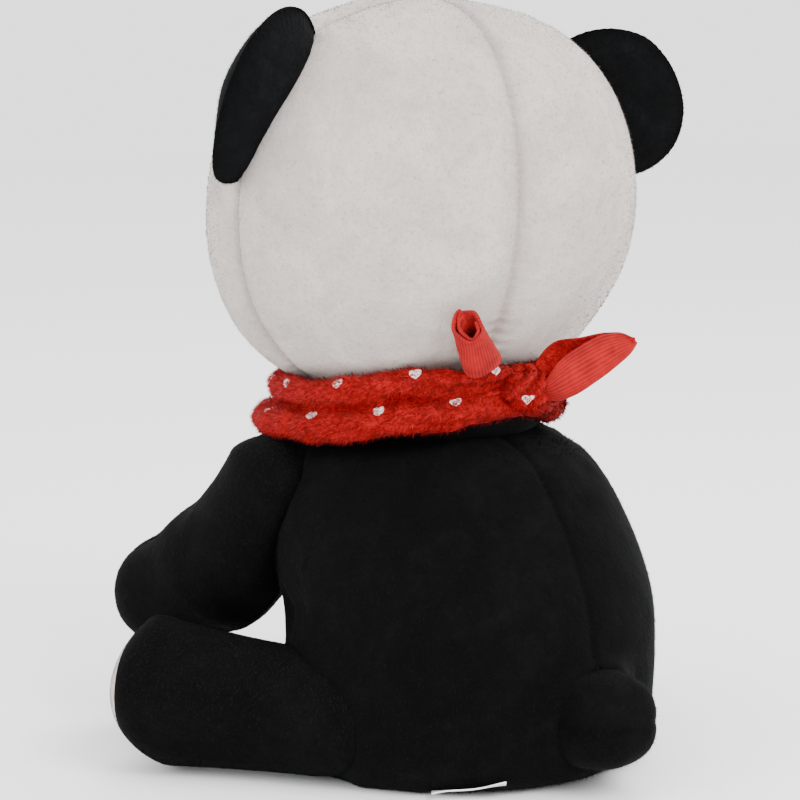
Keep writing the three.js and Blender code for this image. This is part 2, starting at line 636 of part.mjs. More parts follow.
function buildEars(group) {
  const clear = solid(head(EAR_ROOM));
  for (const [side, place] of Object.entries(earPlaces)) {
    const onSide = (shape) => (side === "left" ? shape : mirrored(shape));
    const cover = solid(ear(place, 0)).subtract(solid(ear(place, -EAR_SKIN))).subtract(clear);
    const filling = solid(ear(place, -EAR_SKIN - EASE)).subtract(clear);
    const back = place.through.clone().multiplyScalar(place.through.y > 0 ? 1 : -1);
    const front = back.clone().negate();
    add(group, `ear_${side}_back_panel`, onSide(keep(cover, back, place.spot)), BLACK_PLUSH);
    add(group, `ear_${side}_front_panel`, onSide(keep(cover, front, place.spot)), BLACK_PLUSH);
    add(group, `ear_${side}_filling`, onSide(filling), FIBRE);
  }
}

function buildHead(group) {
  const neckInHead = group.worldToLocal(neck.clone());
  const hollow = solid(
    pillow(...Array(3).fill(NECK_BALL_RADIUS + SWING)).translate(neckInHead.x, neckInHead.y, neckInHead.z),
  );
  const cover = solid(head(0)).subtract(solid(head(-SKIN))).subtract(hollow);
  const made = buildFace(group, cover, solid(head(-SKIN - EASE)).subtract(hollow));
  const [left, right] = [v3(1, 0, 0), v3(-1, 0, 0)];
  const [front, back] = [v3(0, -1, 0), v3(0, 1, 0)];
  const middle = v3(0, 0, 0);
  const quarter = (a, b) => keep(keep(made.cover, a, middle), b, middle);
  add(group, "face_left_panel", quarter(front, left), WHITE_PLUSH);
  add(group, "face_right_panel", quarter(front, right), WHITE_PLUSH);
  add(group, "head_back_left_panel", quarter(back, left), WHITE_PLUSH);
  add(group, "head_back_right_panel", quarter(back, right), WHITE_PLUSH);
  add(group, "head_filling", made.filling, FIBRE);
  buildEars(group);
}

// ---- Neckerchief, in its own frame: the middle of its ring, tilted with it ----

// A folded layer of the band: a ring with an oval section.
function fold({ out, up, halfWidth, halfHeight, slant }) {
  const SIDES = 8;
  const outline = [];
  for (let i = 0; i <= SIDES; i++) {
    const a = (2 * Math.PI * (i % SIDES)) / SIDES;
    const point = new THREE.Vector2(halfWidth * Math.cos(a), halfHeight * Math.sin(a));
    point.rotateAround(new THREE.Vector2(), rad(slant));
    outline.push(point.add(new THREE.Vector2(FOLD_RADIUS + out, up)));
  }
  return new THREE.LatheGeometry(outline, AROUND_TORSO).rotateX(Math.PI / 2);
}

function buildScarf(group) {
  const toLocal = (point) => group.worldToLocal(v3(...point).add(group.position));
  // The room that the head sweeps as it turns and nods, round the neck's axis.
  const turning = HEAD_HALF_WIDTH - 3;
  const reach = pillow(turning, turning, HEAD_HALF_HEIGHT + 2, HEAD_POWER, 24, 16);
  reach.translate(0, neck.y - 2, headMiddle.z).applyMatrix4(group.matrixWorld.clone().invert());
  const headRoom = solid(reach);
  const knotPlace = [0, KNOT_OUT, KNOT_UP];
  const knot = (grow) =>
    solid(pillow(...KNOT_RADII.map((r) => r + grow)).translate(...knotPlace));
  add(group, "scarf_lower_fold", solid(fold(LOWER_FOLD)).subtract(knot(REST)), RED_FLEECE);
  add(group, "scarf_upper_fold", solid(fold(UPPER_FOLD)).subtract(knot(REST)).subtract(headRoom), RED_FLEECE);
  add(group, "scarf_knot", knot(0).subtract(headRoom), RED_FLEECE);

  // The drape on the chest is a three-cornered piece of an upright tube round the ring's axis.
  const top = DRAPE_TOP - SCARF_Z;
  const point = DRAPE_POINT - SCARF_Z;
  const tube = solid(rod(DRAPE_RADIUS + DRAPE_THICKNESS, point - 1, top, 72)).subtract(
    solid(rod(DRAPE_RADIUS, point - 2, top + 1, 72)),
  );
  const half = DRAPE_RADIUS * Math.sin(rad(DRAPE_HALF_ANGLE));
  const corner = new THREE.Shape();
  corner.moveTo(0, point);
  corner.lineTo(half, top + 1);
  corner.lineTo(-half, top + 1);
  const wedge = new THREE.ExtrudeGeometry(corner, { depth: DRAPE_RADIUS * 2, bevelEnabled: false });
  add(group, "scarf_drape", tube.intersect(solid(wedge.rotateX(Math.PI / 2))), RED_FLEECE);

  const end = ({ root, tip }, section) => {
    const [from, to] = [toLocal(root), toLocal(tip)];
    const long = from.distanceTo(to);
    const shape = reshaped(pillow(1, 1, long / 2, 2.6, 12, 8), (p) => {
      const t = (p.z + long / 2) / long;
      section(p, t);
    });
    return solid(stood(shape, from.clone().lerp(to, 0.5), to.clone().sub(from))).subtract(knot(REST));
  };
  const rolled = end(ROLLED_END, (p) => {
    p.x *= ROLLED_END.radius;
    p.y *= ROLLED_END.radius;
  });
  add(group, "scarf_rolled_end", rolled, RED_FLEECE);
  const open = end(OPEN_END, (p, t) => {
    const wide = 0.55 + 0.45 * smooth(t, 0, 0.7);
    p.x *= OPEN_END.radii[0] * wide;
    p.y *= OPEN_END.radii[1] * wide;
  });
  add(group, "scarf_open_end", open, RED_FLEECE);
}

// ---- The whole panda ----
const panda = new THREE.Group();
buildTorso(panda);
buildArms(panda);
buildLegs(panda);
buildTail(panda);

const headGroup = new THREE.Group();
headGroup.position.copy(headMiddle);
headGroup.rotation.set(rad(HEAD_TILT), rad(HEAD_ROLL), rad(HEAD_TURN), "ZXY");
panda.add(headGroup);
headGroup.updateMatrixWorld(true);
buildHead(headGroup);

const scarfGroup = new THREE.Group();
scarfGroup.position.set(0, -SCARF_FORWARD, SCARF_Z);
scarfGroup.rotation.set(rad(SCARF_TILT), 0, rad(SCARF_TURN), "ZXY");
panda.add(scarfGroup);
scarfGroup.updateMatrixWorld(true);
buildScarf(scarfGroup);

export default panda;
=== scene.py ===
# A seated plush panda with a red fleece neckerchief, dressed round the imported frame.
# Lengths are in metres. The panda faces -Y, its left side is +X, and it sits on z = 0.
import json
import math

import bmesh
import bpy
import numpy as np
from mathutils import Matrix, Vector, noise
from mathutils.bvhtree import BVHTree
from mathutils.kdtree import KDTree


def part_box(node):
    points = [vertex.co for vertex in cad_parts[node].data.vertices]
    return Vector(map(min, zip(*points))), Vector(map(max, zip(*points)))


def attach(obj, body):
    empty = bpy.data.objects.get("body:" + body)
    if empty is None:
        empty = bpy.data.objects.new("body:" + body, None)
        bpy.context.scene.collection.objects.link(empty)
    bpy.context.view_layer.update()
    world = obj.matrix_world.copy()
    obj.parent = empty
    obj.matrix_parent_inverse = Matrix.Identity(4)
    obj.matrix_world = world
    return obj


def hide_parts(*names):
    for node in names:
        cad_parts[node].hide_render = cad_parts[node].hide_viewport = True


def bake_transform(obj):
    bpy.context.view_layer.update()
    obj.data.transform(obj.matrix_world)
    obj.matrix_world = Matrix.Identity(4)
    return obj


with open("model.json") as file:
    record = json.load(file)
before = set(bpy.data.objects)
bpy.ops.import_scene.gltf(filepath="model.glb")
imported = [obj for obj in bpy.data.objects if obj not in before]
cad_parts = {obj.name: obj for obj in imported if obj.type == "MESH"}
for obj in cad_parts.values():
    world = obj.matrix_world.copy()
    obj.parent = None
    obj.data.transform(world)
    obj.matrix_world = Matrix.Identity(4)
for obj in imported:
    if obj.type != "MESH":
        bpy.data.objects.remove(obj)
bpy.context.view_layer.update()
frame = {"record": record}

JOINT = {joint["name"]: joint for joint in frame["record"]["behaviour"]["joints"]}

# ---- Sizes, which follow the CAD part's ----
TORSO_HEIGHT = 0.124
BASE_RADIUS, BELLY_RADIUS, SHOULDER_RADIUS = 0.055, 0.0675, 0.0560
BELLY_HEIGHT, SHOULDER_HEIGHT = 0.054, 0.108
TORSO_CURVES = [  # the torso's outline as curves of (half width, height), from base to neck
    [(BASE_RADIUS, 0), (0.0685, 0), (BELLY_RADIUS, 0.020), (BELLY_RADIUS, BELLY_HEIGHT)],
    [
        (BELLY_RADIUS, BELLY_HEIGHT),
        (BELLY_RADIUS, 0.074),
        (0.0640, 0.092),
        (SHOULDER_RADIUS, SHOULDER_HEIGHT),
    ],
    [(SHOULDER_RADIUS, SHOULDER_HEIGHT), (0.0510, 0.118), (0.036, 0.1225), (0, TORSO_HEIGHT)],
]
TORSO_DEPTH = 0.963  # of its half width, at the belly
NECK_FORWARD = 0.018
LEAN_FROM, LEAN_TO = 0.050, 0.118
BELLY_PATCH_ANGLE = math.radians(44)
BELLY_PATCH_TOP = 0.104

HEAD_MIDDLE = Vector((0, -0.0255, 0.2025))
HEAD_HALF = np.array((0.0785, 0.068, 0.076))
HEAD_POWER = 2.15
HEAD_TURN, HEAD_TILT, HEAD_ROLL = math.radians(-11), math.radians(-4), math.radians(-2)

EAR_HALF = np.array((0.0325, 0.0285, 0.0068))
EAR_SINK = 0.023
EAR_SEAM_ANGLE, EAR_LEAN = 25, 38  # degrees

SEAM_WIDTH = 0.0016
SEAM_DEPTH = 0.0013
STITCH = 0.0032  # spacing of the hand-closed stitches


# ---- Small tools ----
def smooth(t):
    t = np.clip(t, 0, 1)
    return t * t * (3 - 2 * t)


def coords(obj):
    out = np.empty(len(obj.data.vertices) * 3)
    obj.data.vertices.foreach_get("co", out)
    return out.reshape(-1, 3)


def set_coords(obj, co):
    obj.data.vertices.foreach_set("co", np.asarray(co, float).ravel())
    obj.data.update()


def normals(obj):
    out = np.empty(len(obj.data.vertices) * 3)
    obj.data.vertices.foreach_get("normal", out)
    return out.reshape(-1, 3)


def write_attribute(obj, name, values):
    layer = obj.data.attributes.get(name) or obj.data.attributes.new(name, "FLOAT", "POINT")
    layer.data.foreach_set("value", np.asarray(values, np.float32))


def only(obj):
    bpy.ops.object.select_all(action="DESELECT")
    obj.select_set(True)
    bpy.context.view_layer.objects.active = obj


def apply_modifiers(obj):
    only(obj)
    for modifier in list(obj.modifiers):
        bpy.ops.object.modifier_apply(modifier=modifier.name)


def rounded(obj, levels=1):
    """Subdivides a piece into a smooth surface for good."""
    modifier = obj.modifiers.new("smooth surface", "SUBSURF")
    modifier.levels = modifier.render_levels = levels
    apply_modifiers(obj)


def ball(name, cuts):
    """A ball of even quads, radius 1, to be shaped point by point."""
    bpy.ops.object.select_all(action="DESELECT")
    bpy.ops.mesh.primitive_cube_add(size=2)
    obj = bpy.context.object
    obj.name = obj.data.name = name
    bpy.ops.object.mode_set(mode="EDIT")
    bpy.ops.mesh.select_all(action="SELECT")
    bpy.ops.mesh.subdivide(number_cuts=cuts)
    bpy.ops.object.mode_set(mode="OBJECT")
    co = np.tan(coords(obj) * math.pi / 4)
    set_coords(obj, co / np.linalg.norm(co, axis=1, keepdims=True))
    bpy.ops.object.shade_smooth()
    return obj


def grid(name, rows, closed=False):
    """A sheet of quads through rows of points. A closed one joins its last row to its first."""
    rows = np.asarray(rows)
    n, m = rows.shape[:2]
    faces = []
    for i in range(n if closed else n - 1):
        j = (i + 1) % n
        for k in range(m - 1):
            faces.append((i * m + k, j * m + k, j * m + k + 1, i * m + k + 1))
    mesh = bpy.data.meshes.new(name)
    mesh.from_pydata(rows.reshape(-1, 3).tolist(), [], faces)
    obj = bpy.data.objects.new(name, mesh)
    bpy.context.collection.objects.link(obj)
    uv = mesh.uv_layers.new(name="cloth")
    at = [(i, k) for i in range(n) for k in range(m)]
    for loop in mesh.loops:
        i, k = at[loop.vertex_index]
        uv.data[loop.index].uv = (i / n, k / (m - 1))
    only(obj)
    bpy.ops.object.shade_smooth()
    return obj


def smoothed(x, xs, ys):
    """A value between knots that eases from each to the next without corners."""
    slopes = np.gradient(ys, xs)
    i = int(np.clip(np.searchsorted(xs, x) - 1, 0, len(xs) - 2))
    step = xs[i + 1] - xs[i]
    t = (x - xs[i]) / step
    start = (1 + 2 * t) * (1 - t) ** 2 * ys[i] + t * (1 - t) ** 2 * step * slopes[i]
    return start + t * t * (3 - 2 * t) * ys[i + 1] + t * t * (t - 1) * step * slopes[i + 1]


def lumps(points, size, seed):
    """Smooth noise from -1 to 1 at each point, with lumps of that size."""
    shift = Vector((seed * 7.3, seed * 3.1, seed * 5.7))
    return np.array([noise.noise(Vector(p) / size + shift) for p in points])


def push(obj, amount):
    """Moves each point along its normal."""
    set_coords(obj, coords(obj) + normals(obj) * np.asarray(amount)[:, None])


STUFFING_STEPS = 20


def stuffed(obj, held, cap, voxel=0.005, pressure=4.0):
    """Lets the stuffing push a cover out between its seams, by a cloth simulation. held(points) is
    true at the seams, which stay, and no point moves further than the cap."""
    remesh = obj.modifiers.new("even cloth", "REMESH")
    remesh.mode = "VOXEL"
    remesh.voxel_size = voxel
    remesh.use_smooth_shade = True
    apply_modifiers(obj)
    start = coords(obj)
    seams = obj.vertex_groups.new(name="seams")
    seams.add([int(i) for i in np.nonzero(held(start))[0]], 1.0, "REPLACE")
    cloth = obj.modifiers.new("cloth", "CLOTH")
    cloth.settings.vertex_group_mass = "seams"
    cloth.settings.use_pressure = True
    cloth.settings.uniform_pressure_force = pressure
    cloth.settings.quality = 5
    cloth.settings.shrink_min = -0.015
    cloth.settings.effector_weights.gravity = 0
    cloth.point_cache.frame_start, cloth.point_cache.frame_end = 1, STUFFING_STEPS
    for step in range(1, STUFFING_STEPS + 1):
        bpy.context.scene.frame_set(step)
    apply_modifiers(obj)
    bpy.context.scene.frame_set(1)
    obj.vertex_groups.clear()
    move = coords(obj) - start
    far = np.linalg.norm(move, axis=1, keepdims=True)
    set_coords(obj, start + move * np.minimum(1, cap / np.maximum(far, 1e-9)))
    only(obj)
    bpy.ops.object.shade_smooth()
    rounded(obj, 1)


def tree(obj):
    return BVHTree.FromObject(obj, bpy.context.evaluated_depsgraph_get())


def depth_in(surface, points):
    """Signed distance of each point from a closed surface, positive outside, and the way out."""
    distance = np.empty(len(points))
    away = np.empty((len(points), 3))
    for i, p in enumerate(points):
        p = Vector(p)
        near, normal, _, d = surface.find_nearest(p)
        side = 1 if (p - near).dot(normal) >= 0 else -1
        distance[i] = d * side
        away[i] = normal if d < 1e-7 else (p - near) / d * side
    return distance, away


def fillet(obj, others, reach):
    """Draws a cover's skin out towards the covers that it runs into, as cloth sewn to cloth lies.
    Past the join it sinks under the other cover's skin."""
    own = tree(obj)
    trees = [tree(o) for o in others]
    co = coords(obj)
    moved = co.copy()
    for surface in trees:
        d0, _ = depth_in(surface, co)
        near = np.nonzero((d0 < reach) & (d0 > -reach * 1.2))[0]
        p = moved[near]
        for _ in range(4):
            theirs, their_way = depth_in(surface, p)
            ours, our_way = depth_in(own, p)
            h = np.clip(0.5 + 0.5 * (theirs - ours) / reach, 0, 1)[:, None]
            f = theirs[:, None] * (1 - h) + ours[:, None] * h - reach * h * (1 - h)
            way = their_way * (1 - h) + our_way * h
            way /= np.maximum(np.linalg.norm(way, axis=1, keepdims=True), 1e-6)
            p = p - way * np.clip(f, -reach, reach)
        sunk = 0.0016 * smooth(-d0[near] / (0.5 * reach))
        _, way = depth_in(surface, p)
        deep = d0[near] < -reach
        p[deep] = co[near][deep]
        moved[near] = p - way * sunk[:, None]
    return moved


# ---- Shapes ----
def outline(curves, count=40):
    """Points (height, half width) along a chain of four-point curves, from the axis at its foot."""
    t = np.linspace(0, 1, count)[:, None]
    points = [np.zeros((1, 2))]
    for a, b, c, d in [[np.array(p, float) for p in curve] for curve in curves]:
        points.append(a * (1 - t) ** 3 + 3 * b * t * (1 - t) ** 2 + 3 * c * t * t * (1 - t) + d * t**3)
    return np.concatenate(points)[:, ::-1]


TORSO_OUTLINE = outline(TORSO_CURVES)


def along_outline(points, t):
    """Points of an outline at shares t of its length."""
    run = np.concatenate([[0], np.cumsum(np.linalg.norm(np.diff(points, axis=0), axis=1))])
    return np.stack([np.interp(t * run[-1], run, points[:, k]) for k in (0, 1)], -1)


def lean(z):
    return -NECK_FORWARD * smooth((z - LEAN_FROM) / (LEAN_TO - LEAN_FROM))


def torso_points(unit):
    t = np.arccos(np.clip(-unit[:, 2], -1, 1)) / math.pi
    angle = np.arctan2(unit[:, 1], unit[:, 0])
    zr = along_outline(TORSO_OUTLINE, t)
    z, r = zr[:, 0], zr[:, 1]
    rise = (z - BELLY_HEIGHT) / (SHOULDER_HEIGHT - BELLY_HEIGHT)
    share = TORSO_DEPTH + (1 - TORSO_DEPTH) * smooth(rise)
    x = r * np.cos(angle)
    y = r * np.sin(angle) * share
    y *= 1 - 0.09 * smooth(-y / 0.05)
    return np.stack([x, y + lean(z), z], -1)


class Line:
    """A curve through three points, and the frame of a limb that runs along it."""

    def __init__(self, a, b, c):
        self.points = [np.array(p, float) for p in (a, b, c)]
        t = np.linspace(0, 1, 65)[:, None]
        self.path = self.at(t)
        self.length = float(np.linalg.norm(np.diff(self.path, axis=0), axis=1).sum())

    def at(self, t):
        a, b, c = self.points
        return a * (1 - t) ** 2 + b * 2 * t * (1 - t) + c * t * t

    def way(self, t):
        a, b, c = self.points
        d = (b - a) * (1 - t) + (c - b) * t
        return d / np.linalg.norm(d, axis=1, keepdims=True)


def limb_points(unit, line, radii, root_reach, end_reach, end_square=2.0):
    """Shapes a ball into a round limb: a domed root, a body along the line and a domed end."""
    root, middle, end = radii
    total = line.length + (root_reach + end_reach) * 1.35
    s = np.arccos(np.clip(-unit[:, 2], -1, 1)) / math.pi * total - root_reach * 1.35
    t = np.clip(s / line.length, 0, 1)
    r = root * (1 - t) * (1 - 2 * t) + 4 * middle * t * (1 - t) + end * t * (2 * t - 1)
    past = np.zeros_like(s)
    a = np.clip(-s / (root_reach * 1.35), 0, 1) * math.pi / 2
    r = np.where(s < 0, root * np.cos(a), r)
    past = np.where(s < 0, -root_reach * np.sin(a), past)
    over = s > line.length
    a = np.clip((s - line.length) / (end_reach * 1.35), 0, 1) * math.pi / 2
    r = np.where(over, end * np.cos(a) ** (2 / end_square), r)
    past = np.where(over, end_reach * np.sin(a) ** (2 / end_square), past)
    t = t[:, None]
    way = line.way(t)
    side = np.cross(way, (0, 0, 1))
    side /= np.linalg.norm(side, axis=1, keepdims=True)
    up = np.cross(side, way)
    flat = np.hypot(unit[:, 0], unit[:, 1])
    flat = np.where(flat < 1e-9, 1, flat)
    c, n = unit[:, 0] / flat, unit[:, 1] / flat
    return line.at(t) + way * past[:, None] + (side * c[:, None] + up * n[:, None]) * r[:, None]


def head_matrix():
    turn = Matrix.Rotation(HEAD_TURN, 4, "Z")
    tilt = Matrix.Rotation(HEAD_TILT, 4, "X")
    roll = Matrix.Rotation(HEAD_ROLL, 4, "Y")
    return Matrix.Translation(HEAD_MIDDLE) @ turn @ tilt @ roll


HEAD = np.array(head_matrix())


def to_world(points, matrix=HEAD):
    return np.asarray(points) @ matrix[:3, :3].T + matrix[:3, 3]


def head_points(unit):
    size = (np.abs(unit) ** HEAD_POWER).sum(1) ** (-1 / HEAD_POWER)
    p = unit * size[:, None] * HEAD_HALF
    # The head narrows a little below its middle.
    low = smooth((-p[:, 2] - 0.004) / 0.055)[:, None]
    p[:, :2] = p[:, :2] * (1 - 0.034 * low) + np.array((0.0012, -0.0009)) * low
    # The cheeks are fuller than the brow, and the head is a little squarer at the ears.
    cheek = smooth((-p[:, 1] + 0.030) / 0.07) * smooth((-p[:, 2] - 0.015) / 0.035)
    p[:, 0] *= 1 + 0.03 * cheek
    corner = np.exp(-(((np.abs(p[:, 0]) - 0.056) / 0.022) ** 2 + ((p[:, 2] - 0.050) / 0.024) ** 2))
    corner *= np.exp(-((p[:, 1] / 0.040) ** 2))
    p *= 1 + 0.030 * corner[:, None]
    return p


def seam_groove(distance, run, depth=SEAM_DEPTH, width=SEAM_WIDTH, pucker=0.25):
    """How far a seam draws the cloth in: a narrow groove in a broad shallow one, with stitches."""
    groove = -depth * np.exp(-((distance / width) ** 2))
    broad = -0.5 * depth * np.exp(-((distance / (width * 4)) ** 2))
    stitch = -pucker * depth * np.exp(-((distance / (width * 2)) ** 2))
    stitch *= 0.5 + 0.5 * np.cos(2 * math.pi * run / STITCH)
    return groove + broad + stitch


# ---- Materials ----
def linear(code):
    """An sRGB hex colour as linear RGBA."""
    channels = [int(code[i : i + 2], 16) / 255 for i in (0, 2, 4)]
    bent = [c / 12.92 if c <= 0.04045 else ((c + 0.055) / 1.055) ** 2.4 for c in channels]
    return (*bent, 1.0)


def node(nodes, kind, inputs=None, **settings):
    """Adds a node, sets its settings and its inputs, and links the inputs that are sockets."""
    made = nodes.new(kind)
    for key, value in settings.items():
        setattr(made, key, value)
    for key, value in (inputs or {}).items():
        if isinstance(value, bpy.types.NodeSocket):
            nodes.id_data.links.new(value, made.inputs[key])
        else:
            made.inputs[key].default_value = value
    return made


def material(name):
    made = bpy.data.materials.new(name)
    made.use_nodes = True
    nodes = made.node_tree.nodes
    shader = nodes["Principled BSDF"]
    return made, nodes, shader


def link(shader, name, socket):
    shader.id_data.links.new(socket, shader.inputs[name])


def ramp(nodes, factor, stops):
    made = node(nodes, "ShaderNodeValToRGB", {"Fac": factor})
    elements = made.color_ramp.elements
    while len(elements) < len(stops):
        elements.new(0.5)
    for element, (place, code) in zip(elements, stops):
        element.position = place
        element.color = linear(code)
    return made.outputs["Color"]


def math_node(nodes, operation, *values):
    made = node(nodes, "ShaderNodeMath", dict(enumerate(values)), operation=operation)
    return made.outputs["Value"]


def weighted(nodes, *parts):
    """The sum of (socket, weight) pairs."""
    total = 0.0
    for socket, weight in parts:
        total = math_node(nodes, "MULTIPLY_ADD", socket, weight, total)
    return total


def own_place(nodes):
    return node(nodes, "ShaderNodeTexCoord").outputs["Object"]


def cloth_place(nodes):
    """The place on the flat cloth, in metres."""
    return node(nodes, "ShaderNodeUVMap", uv_map="cloth").outputs["UV"]


def mottle(nodes, place, size_mm, detail, roughness=0.5, distortion=0.0):
    """Soft noise with patches of that size."""
    inputs = {"Vector": place, "Scale": 1000 / size_mm, "Detail": detail}
    inputs.update({"Roughness": roughness, "Distortion": distortion})
    return node(nodes, "ShaderNodeTexNoise", inputs).outputs["Fac"]


def ribs(nodes, place, pitch_mm, distortion, direction):
    """Fine parallel ribs at that pitch."""
    inputs = {"Vector": place, "Scale": 1000 / pitch_mm / 6.2832 * 2, "Detail": 1.0}
    inputs["Distortion"] = distortion
    return node(nodes, "ShaderNodeTexWave", inputs, bands_direction=direction).outputs["Fac"]


def relief(nodes, shader, height, strength, distance):
    bump = node(
        nodes, "ShaderNodeBump", {"Height": height, "Strength": strength, "Distance": distance}
    )
    link(shader, "Normal", bump.outputs["Normal"])


def blended(nodes, factor, first, second):
    inputs = {"Factor": factor, 6: first, 7: second}
    return node(nodes, "ShaderNodeMix", inputs, data_type="RGBA").outputs[2]


def soft_finish(shader, roughness, specular, sheen, sheen_roughness, sheen_tint):
    shader.inputs["Roughness"].default_value = roughness
    shader.inputs["Specular IOR Level"].default_value = specular
    shader.inputs["Sheen Weight"].default_value = sheen
    shader.inputs["Sheen Roughness"].default_value = sheen_roughness
    shader.inputs["Sheen Tint"].default_value = linear(sheen_tint)


def plush(name, dark, main, light, seam_shade, sheen, sheen_tint, nap_mm=22, grain=0.5):
    """Knitted plush with a short cut pile, brushed by hand: broad soft patches where the nap lies
    one way or the other, a fine grain of fibre tips, and painted shade down in the grooves of the
    seams."""
    made, nodes, shader = material(name)
    place = own_place(nodes)
    nap = mottle(nodes, place, nap_mm, 3.0, 0.55, 0.9)
    # Pile tips are about 0.3 mm apart. They are drawn at 1.1 mm so that the grain can be seen.
    tips = mottle(nodes, place, 1.1, 2.0, 0.7)
    clumps = mottle(nodes, place, 4.5, 2.0, 0.6, 0.4)
    tone = weighted(nodes, (nap, 0.55), (clumps, 0.25), (tips, 0.20))
    base = ramp(nodes, tone, [(0.32, dark), (0.5, main), (0.68, light)])
    # Painted shade: the cloth is darkened in the seam grooves and dents, towards the seam shade colour.
    groove = node(nodes, "ShaderNodeAttribute", attribute_name="seam_shade").outputs["Fac"]
    link(shader, "Base Color", blended(nodes, groove, base, linear(seam_shade)))
    height = math_node(nodes, "MULTIPLY_ADD", clumps, 1.4, tips)
    relief(nodes, shader, height, grain, 0.0006)
    soft_finish(shader, 0.95, 0.06, sheen, 0.45, sheen_tint)
    return made


def strand(name, code, sheen, sheen_tint):
    """One tone of loose pile fibre. Each strand is too thin to carry a pattern, so a coat of
    pile takes several of these tones."""
    made, _, shader = material(name)
    shader.inputs["Base Color"].default_value = linear(code)
    soft_finish(shader, 0.8, 0.1, sheen, 0.4, sheen_tint)
    return made


# The fourth colour of each plush is the painted shade of its seam grooves.
WHITE = plush("white_plush_cut_pile", "a79d97", "b3aaa4", "c0b8b2", "7d6c66", 0.12, "fff6f2", 26, 0.4)
BLACK = plush("black_plush_cut_pile", "020202", "040404", "09090a", "010101", 0.016, "7d8594", 24, 0.6)
EAR_BLACK = plush("ear_plush_cut_pile", "050506", "0a0b0c", "121315", "020202", 0.03, "8d95a3", 16, 0.6)
SOLE = plush("sole_plush_cut_pile", "c0b7b4", "d0c8c5", "dcd6d3", "857974", 0.3, "ffffff", 14, 0.6)

WHITE_PILE = [
    strand("white_pile_shaded", "a89e98", 0.08, "ffffff"),
    strand("white_pile", "b5aca6", 0.08, "ffffff"),
    strand("white_pile_bright", "c5beb9", 0.12, "ffffff"),
]
BLACK_PILE = [
    strand("black_pile_shaded", "020202", 0.01, "7d8594"),
    strand("black_pile", "050506", 0.02, "7d8594"),
    strand("black_pile_bright", "0e0e10", 0.05, "98a0ae"),
]
RED_PILE = [
    strand("red_pile_shaded", "5c0203", 0.02, "ff8080"),
    strand("red_pile", "8c0406", 0.03, "ff8a8a"),
    strand("red_pile_bright", "b01214", 0.06, "ffa0a0"),
]


def heart_print(nodes, flat, colour, spacing=0.025, size=0.0017):
    """Prints a heart in each cell of the cloth: (x^2 + y^2 - 1)^3 < x^2 y^3."""
    parts = node(nodes, "ShaderNodeSeparateXYZ", {"Vector": flat})
    across = math_node(nodes, "DIVIDE", parts.outputs["X"], spacing)
    down = math_node(nodes, "DIVIDE", parts.outputs["Y"], spacing * 0.62)
    row = math_node(nodes, "FLOOR", down)
    odd = math_node(nodes, "MULTIPLY", math_node(nodes, "MODULO", row, 2.0), 0.5)
    across = math_node(nodes, "ADD", across, odd)
    x = math_node(nodes, "SUBTRACT", math_node(nodes, "FRACT", across), 0.5)
    y = math_node(nodes, "SUBTRACT", math_node(nodes, "FRACT", down), 0.5)
    x = math_node(nodes, "MULTIPLY", x, spacing / size)
    y = math_node(nodes, "MULTIPLY", y, spacing * 0.62 / size)
    xx = math_node(nodes, "MULTIPLY", x, x)
    yy = math_node(nodes, "MULTIPLY", y, y)
    ring = math_node(nodes, "SUBTRACT", math_node(nodes, "ADD", xx, yy), 1.0)
    cubed = math_node(nodes, "MULTIPLY", math_node(nodes, "MULTIPLY", ring, ring), ring)
    lobe = math_node(nodes, "MULTIPLY", xx, math_node(nodes, "MULTIPLY", yy, y))
    inside = math_node(nodes, "LESS_THAN", cubed, lobe)
    return blended(nodes, inside, colour, linear("e6d3d1"))


def fleece(name):
    """Red fleece, brushed on its face, with small white hearts printed on it 25 mm apart."""
    made, nodes, shader = material(name)
    place = own_place(nodes)
    fluff = mottle(nodes, place, 2.4, 4.0, 0.7, 0.6)
    broad = mottle(nodes, place, 12, 2.0, distortion=0.5)
    stops = [(0.30, "3c0203"), (0.47, "780204"), (0.60, "980507"), (0.74, "b01012")]
    red = ramp(nodes, weighted(nodes, (fluff, 0.7), (broad, 0.3)), stops)
    link(shader, "Base Color", heart_print(nodes, cloth_place(nodes), red))
    relief(nodes, shader, fluff, 0.75, 0.0009)
    soft_finish(shader, 0.92, 0.2, 0.12, 0.4, "ff9088")
    return made


def ribbed_knit(name):
    """The smooth reverse of the fleece: fine knitted ribs about 0.9 mm apart along the cloth."""
    made, nodes, shader = material(name)
    knit = ribs(nodes, cloth_place(nodes), 0.9, 0.6, "Y")
    shade = mottle(nodes, own_place(nodes), 7, 3.0, 0.6)
    tone = weighted(nodes, (knit, 0.22), (shade, 0.78))
    link(shader, "Base Color", ramp(nodes, tone, [(0.30, "6e0305"), (0.5, "8c0608"), (0.7, "a00d0f")]))
    relief(nodes, shader, knit, 0.5, 0.0003)
    soft_finish(shader, 0.85, 0.25, 0.08, 0.35, "ff9a94")
    return made


def satin(name):
    """Woven satin ribbon: fine cross ribs and a soft gloss."""
    made, nodes, shader = material(name)
    weave = ribs(nodes, own_place(nodes), 0.8, 0.4, "DIAGONAL")
    link(shader, "Base Color", ramp(nodes, weave, [(0.0, "d9d9d6"), (1.0, "f3f3f1")]))
    relief(nodes, shader, weave, 0.25, 0.0001)
    shader.inputs["Roughness"].default_value = 0.45
    return made


def glossy_plastic(name):
    """Injection-moulded black plastic with a polished dome and faint hairline scuffs."""
    made, nodes, shader = material(name)
    scuffs = mottle(nodes, own_place(nodes), 1.5, 4.0, 0.6, 2.0)
    link(shader, "Roughness", ramp(nodes, scuffs, [(0.4, "181818"), (0.75, "2c2c2c")]))
    link(shader, "Base Color", ramp(nodes, scuffs, [(0.3, "030303"), (0.8, "070606")]))
    shader.inputs["IOR"].default_value = 1.5
    shader.inputs["Specular IOR Level"].default_value = 0.10
    return made


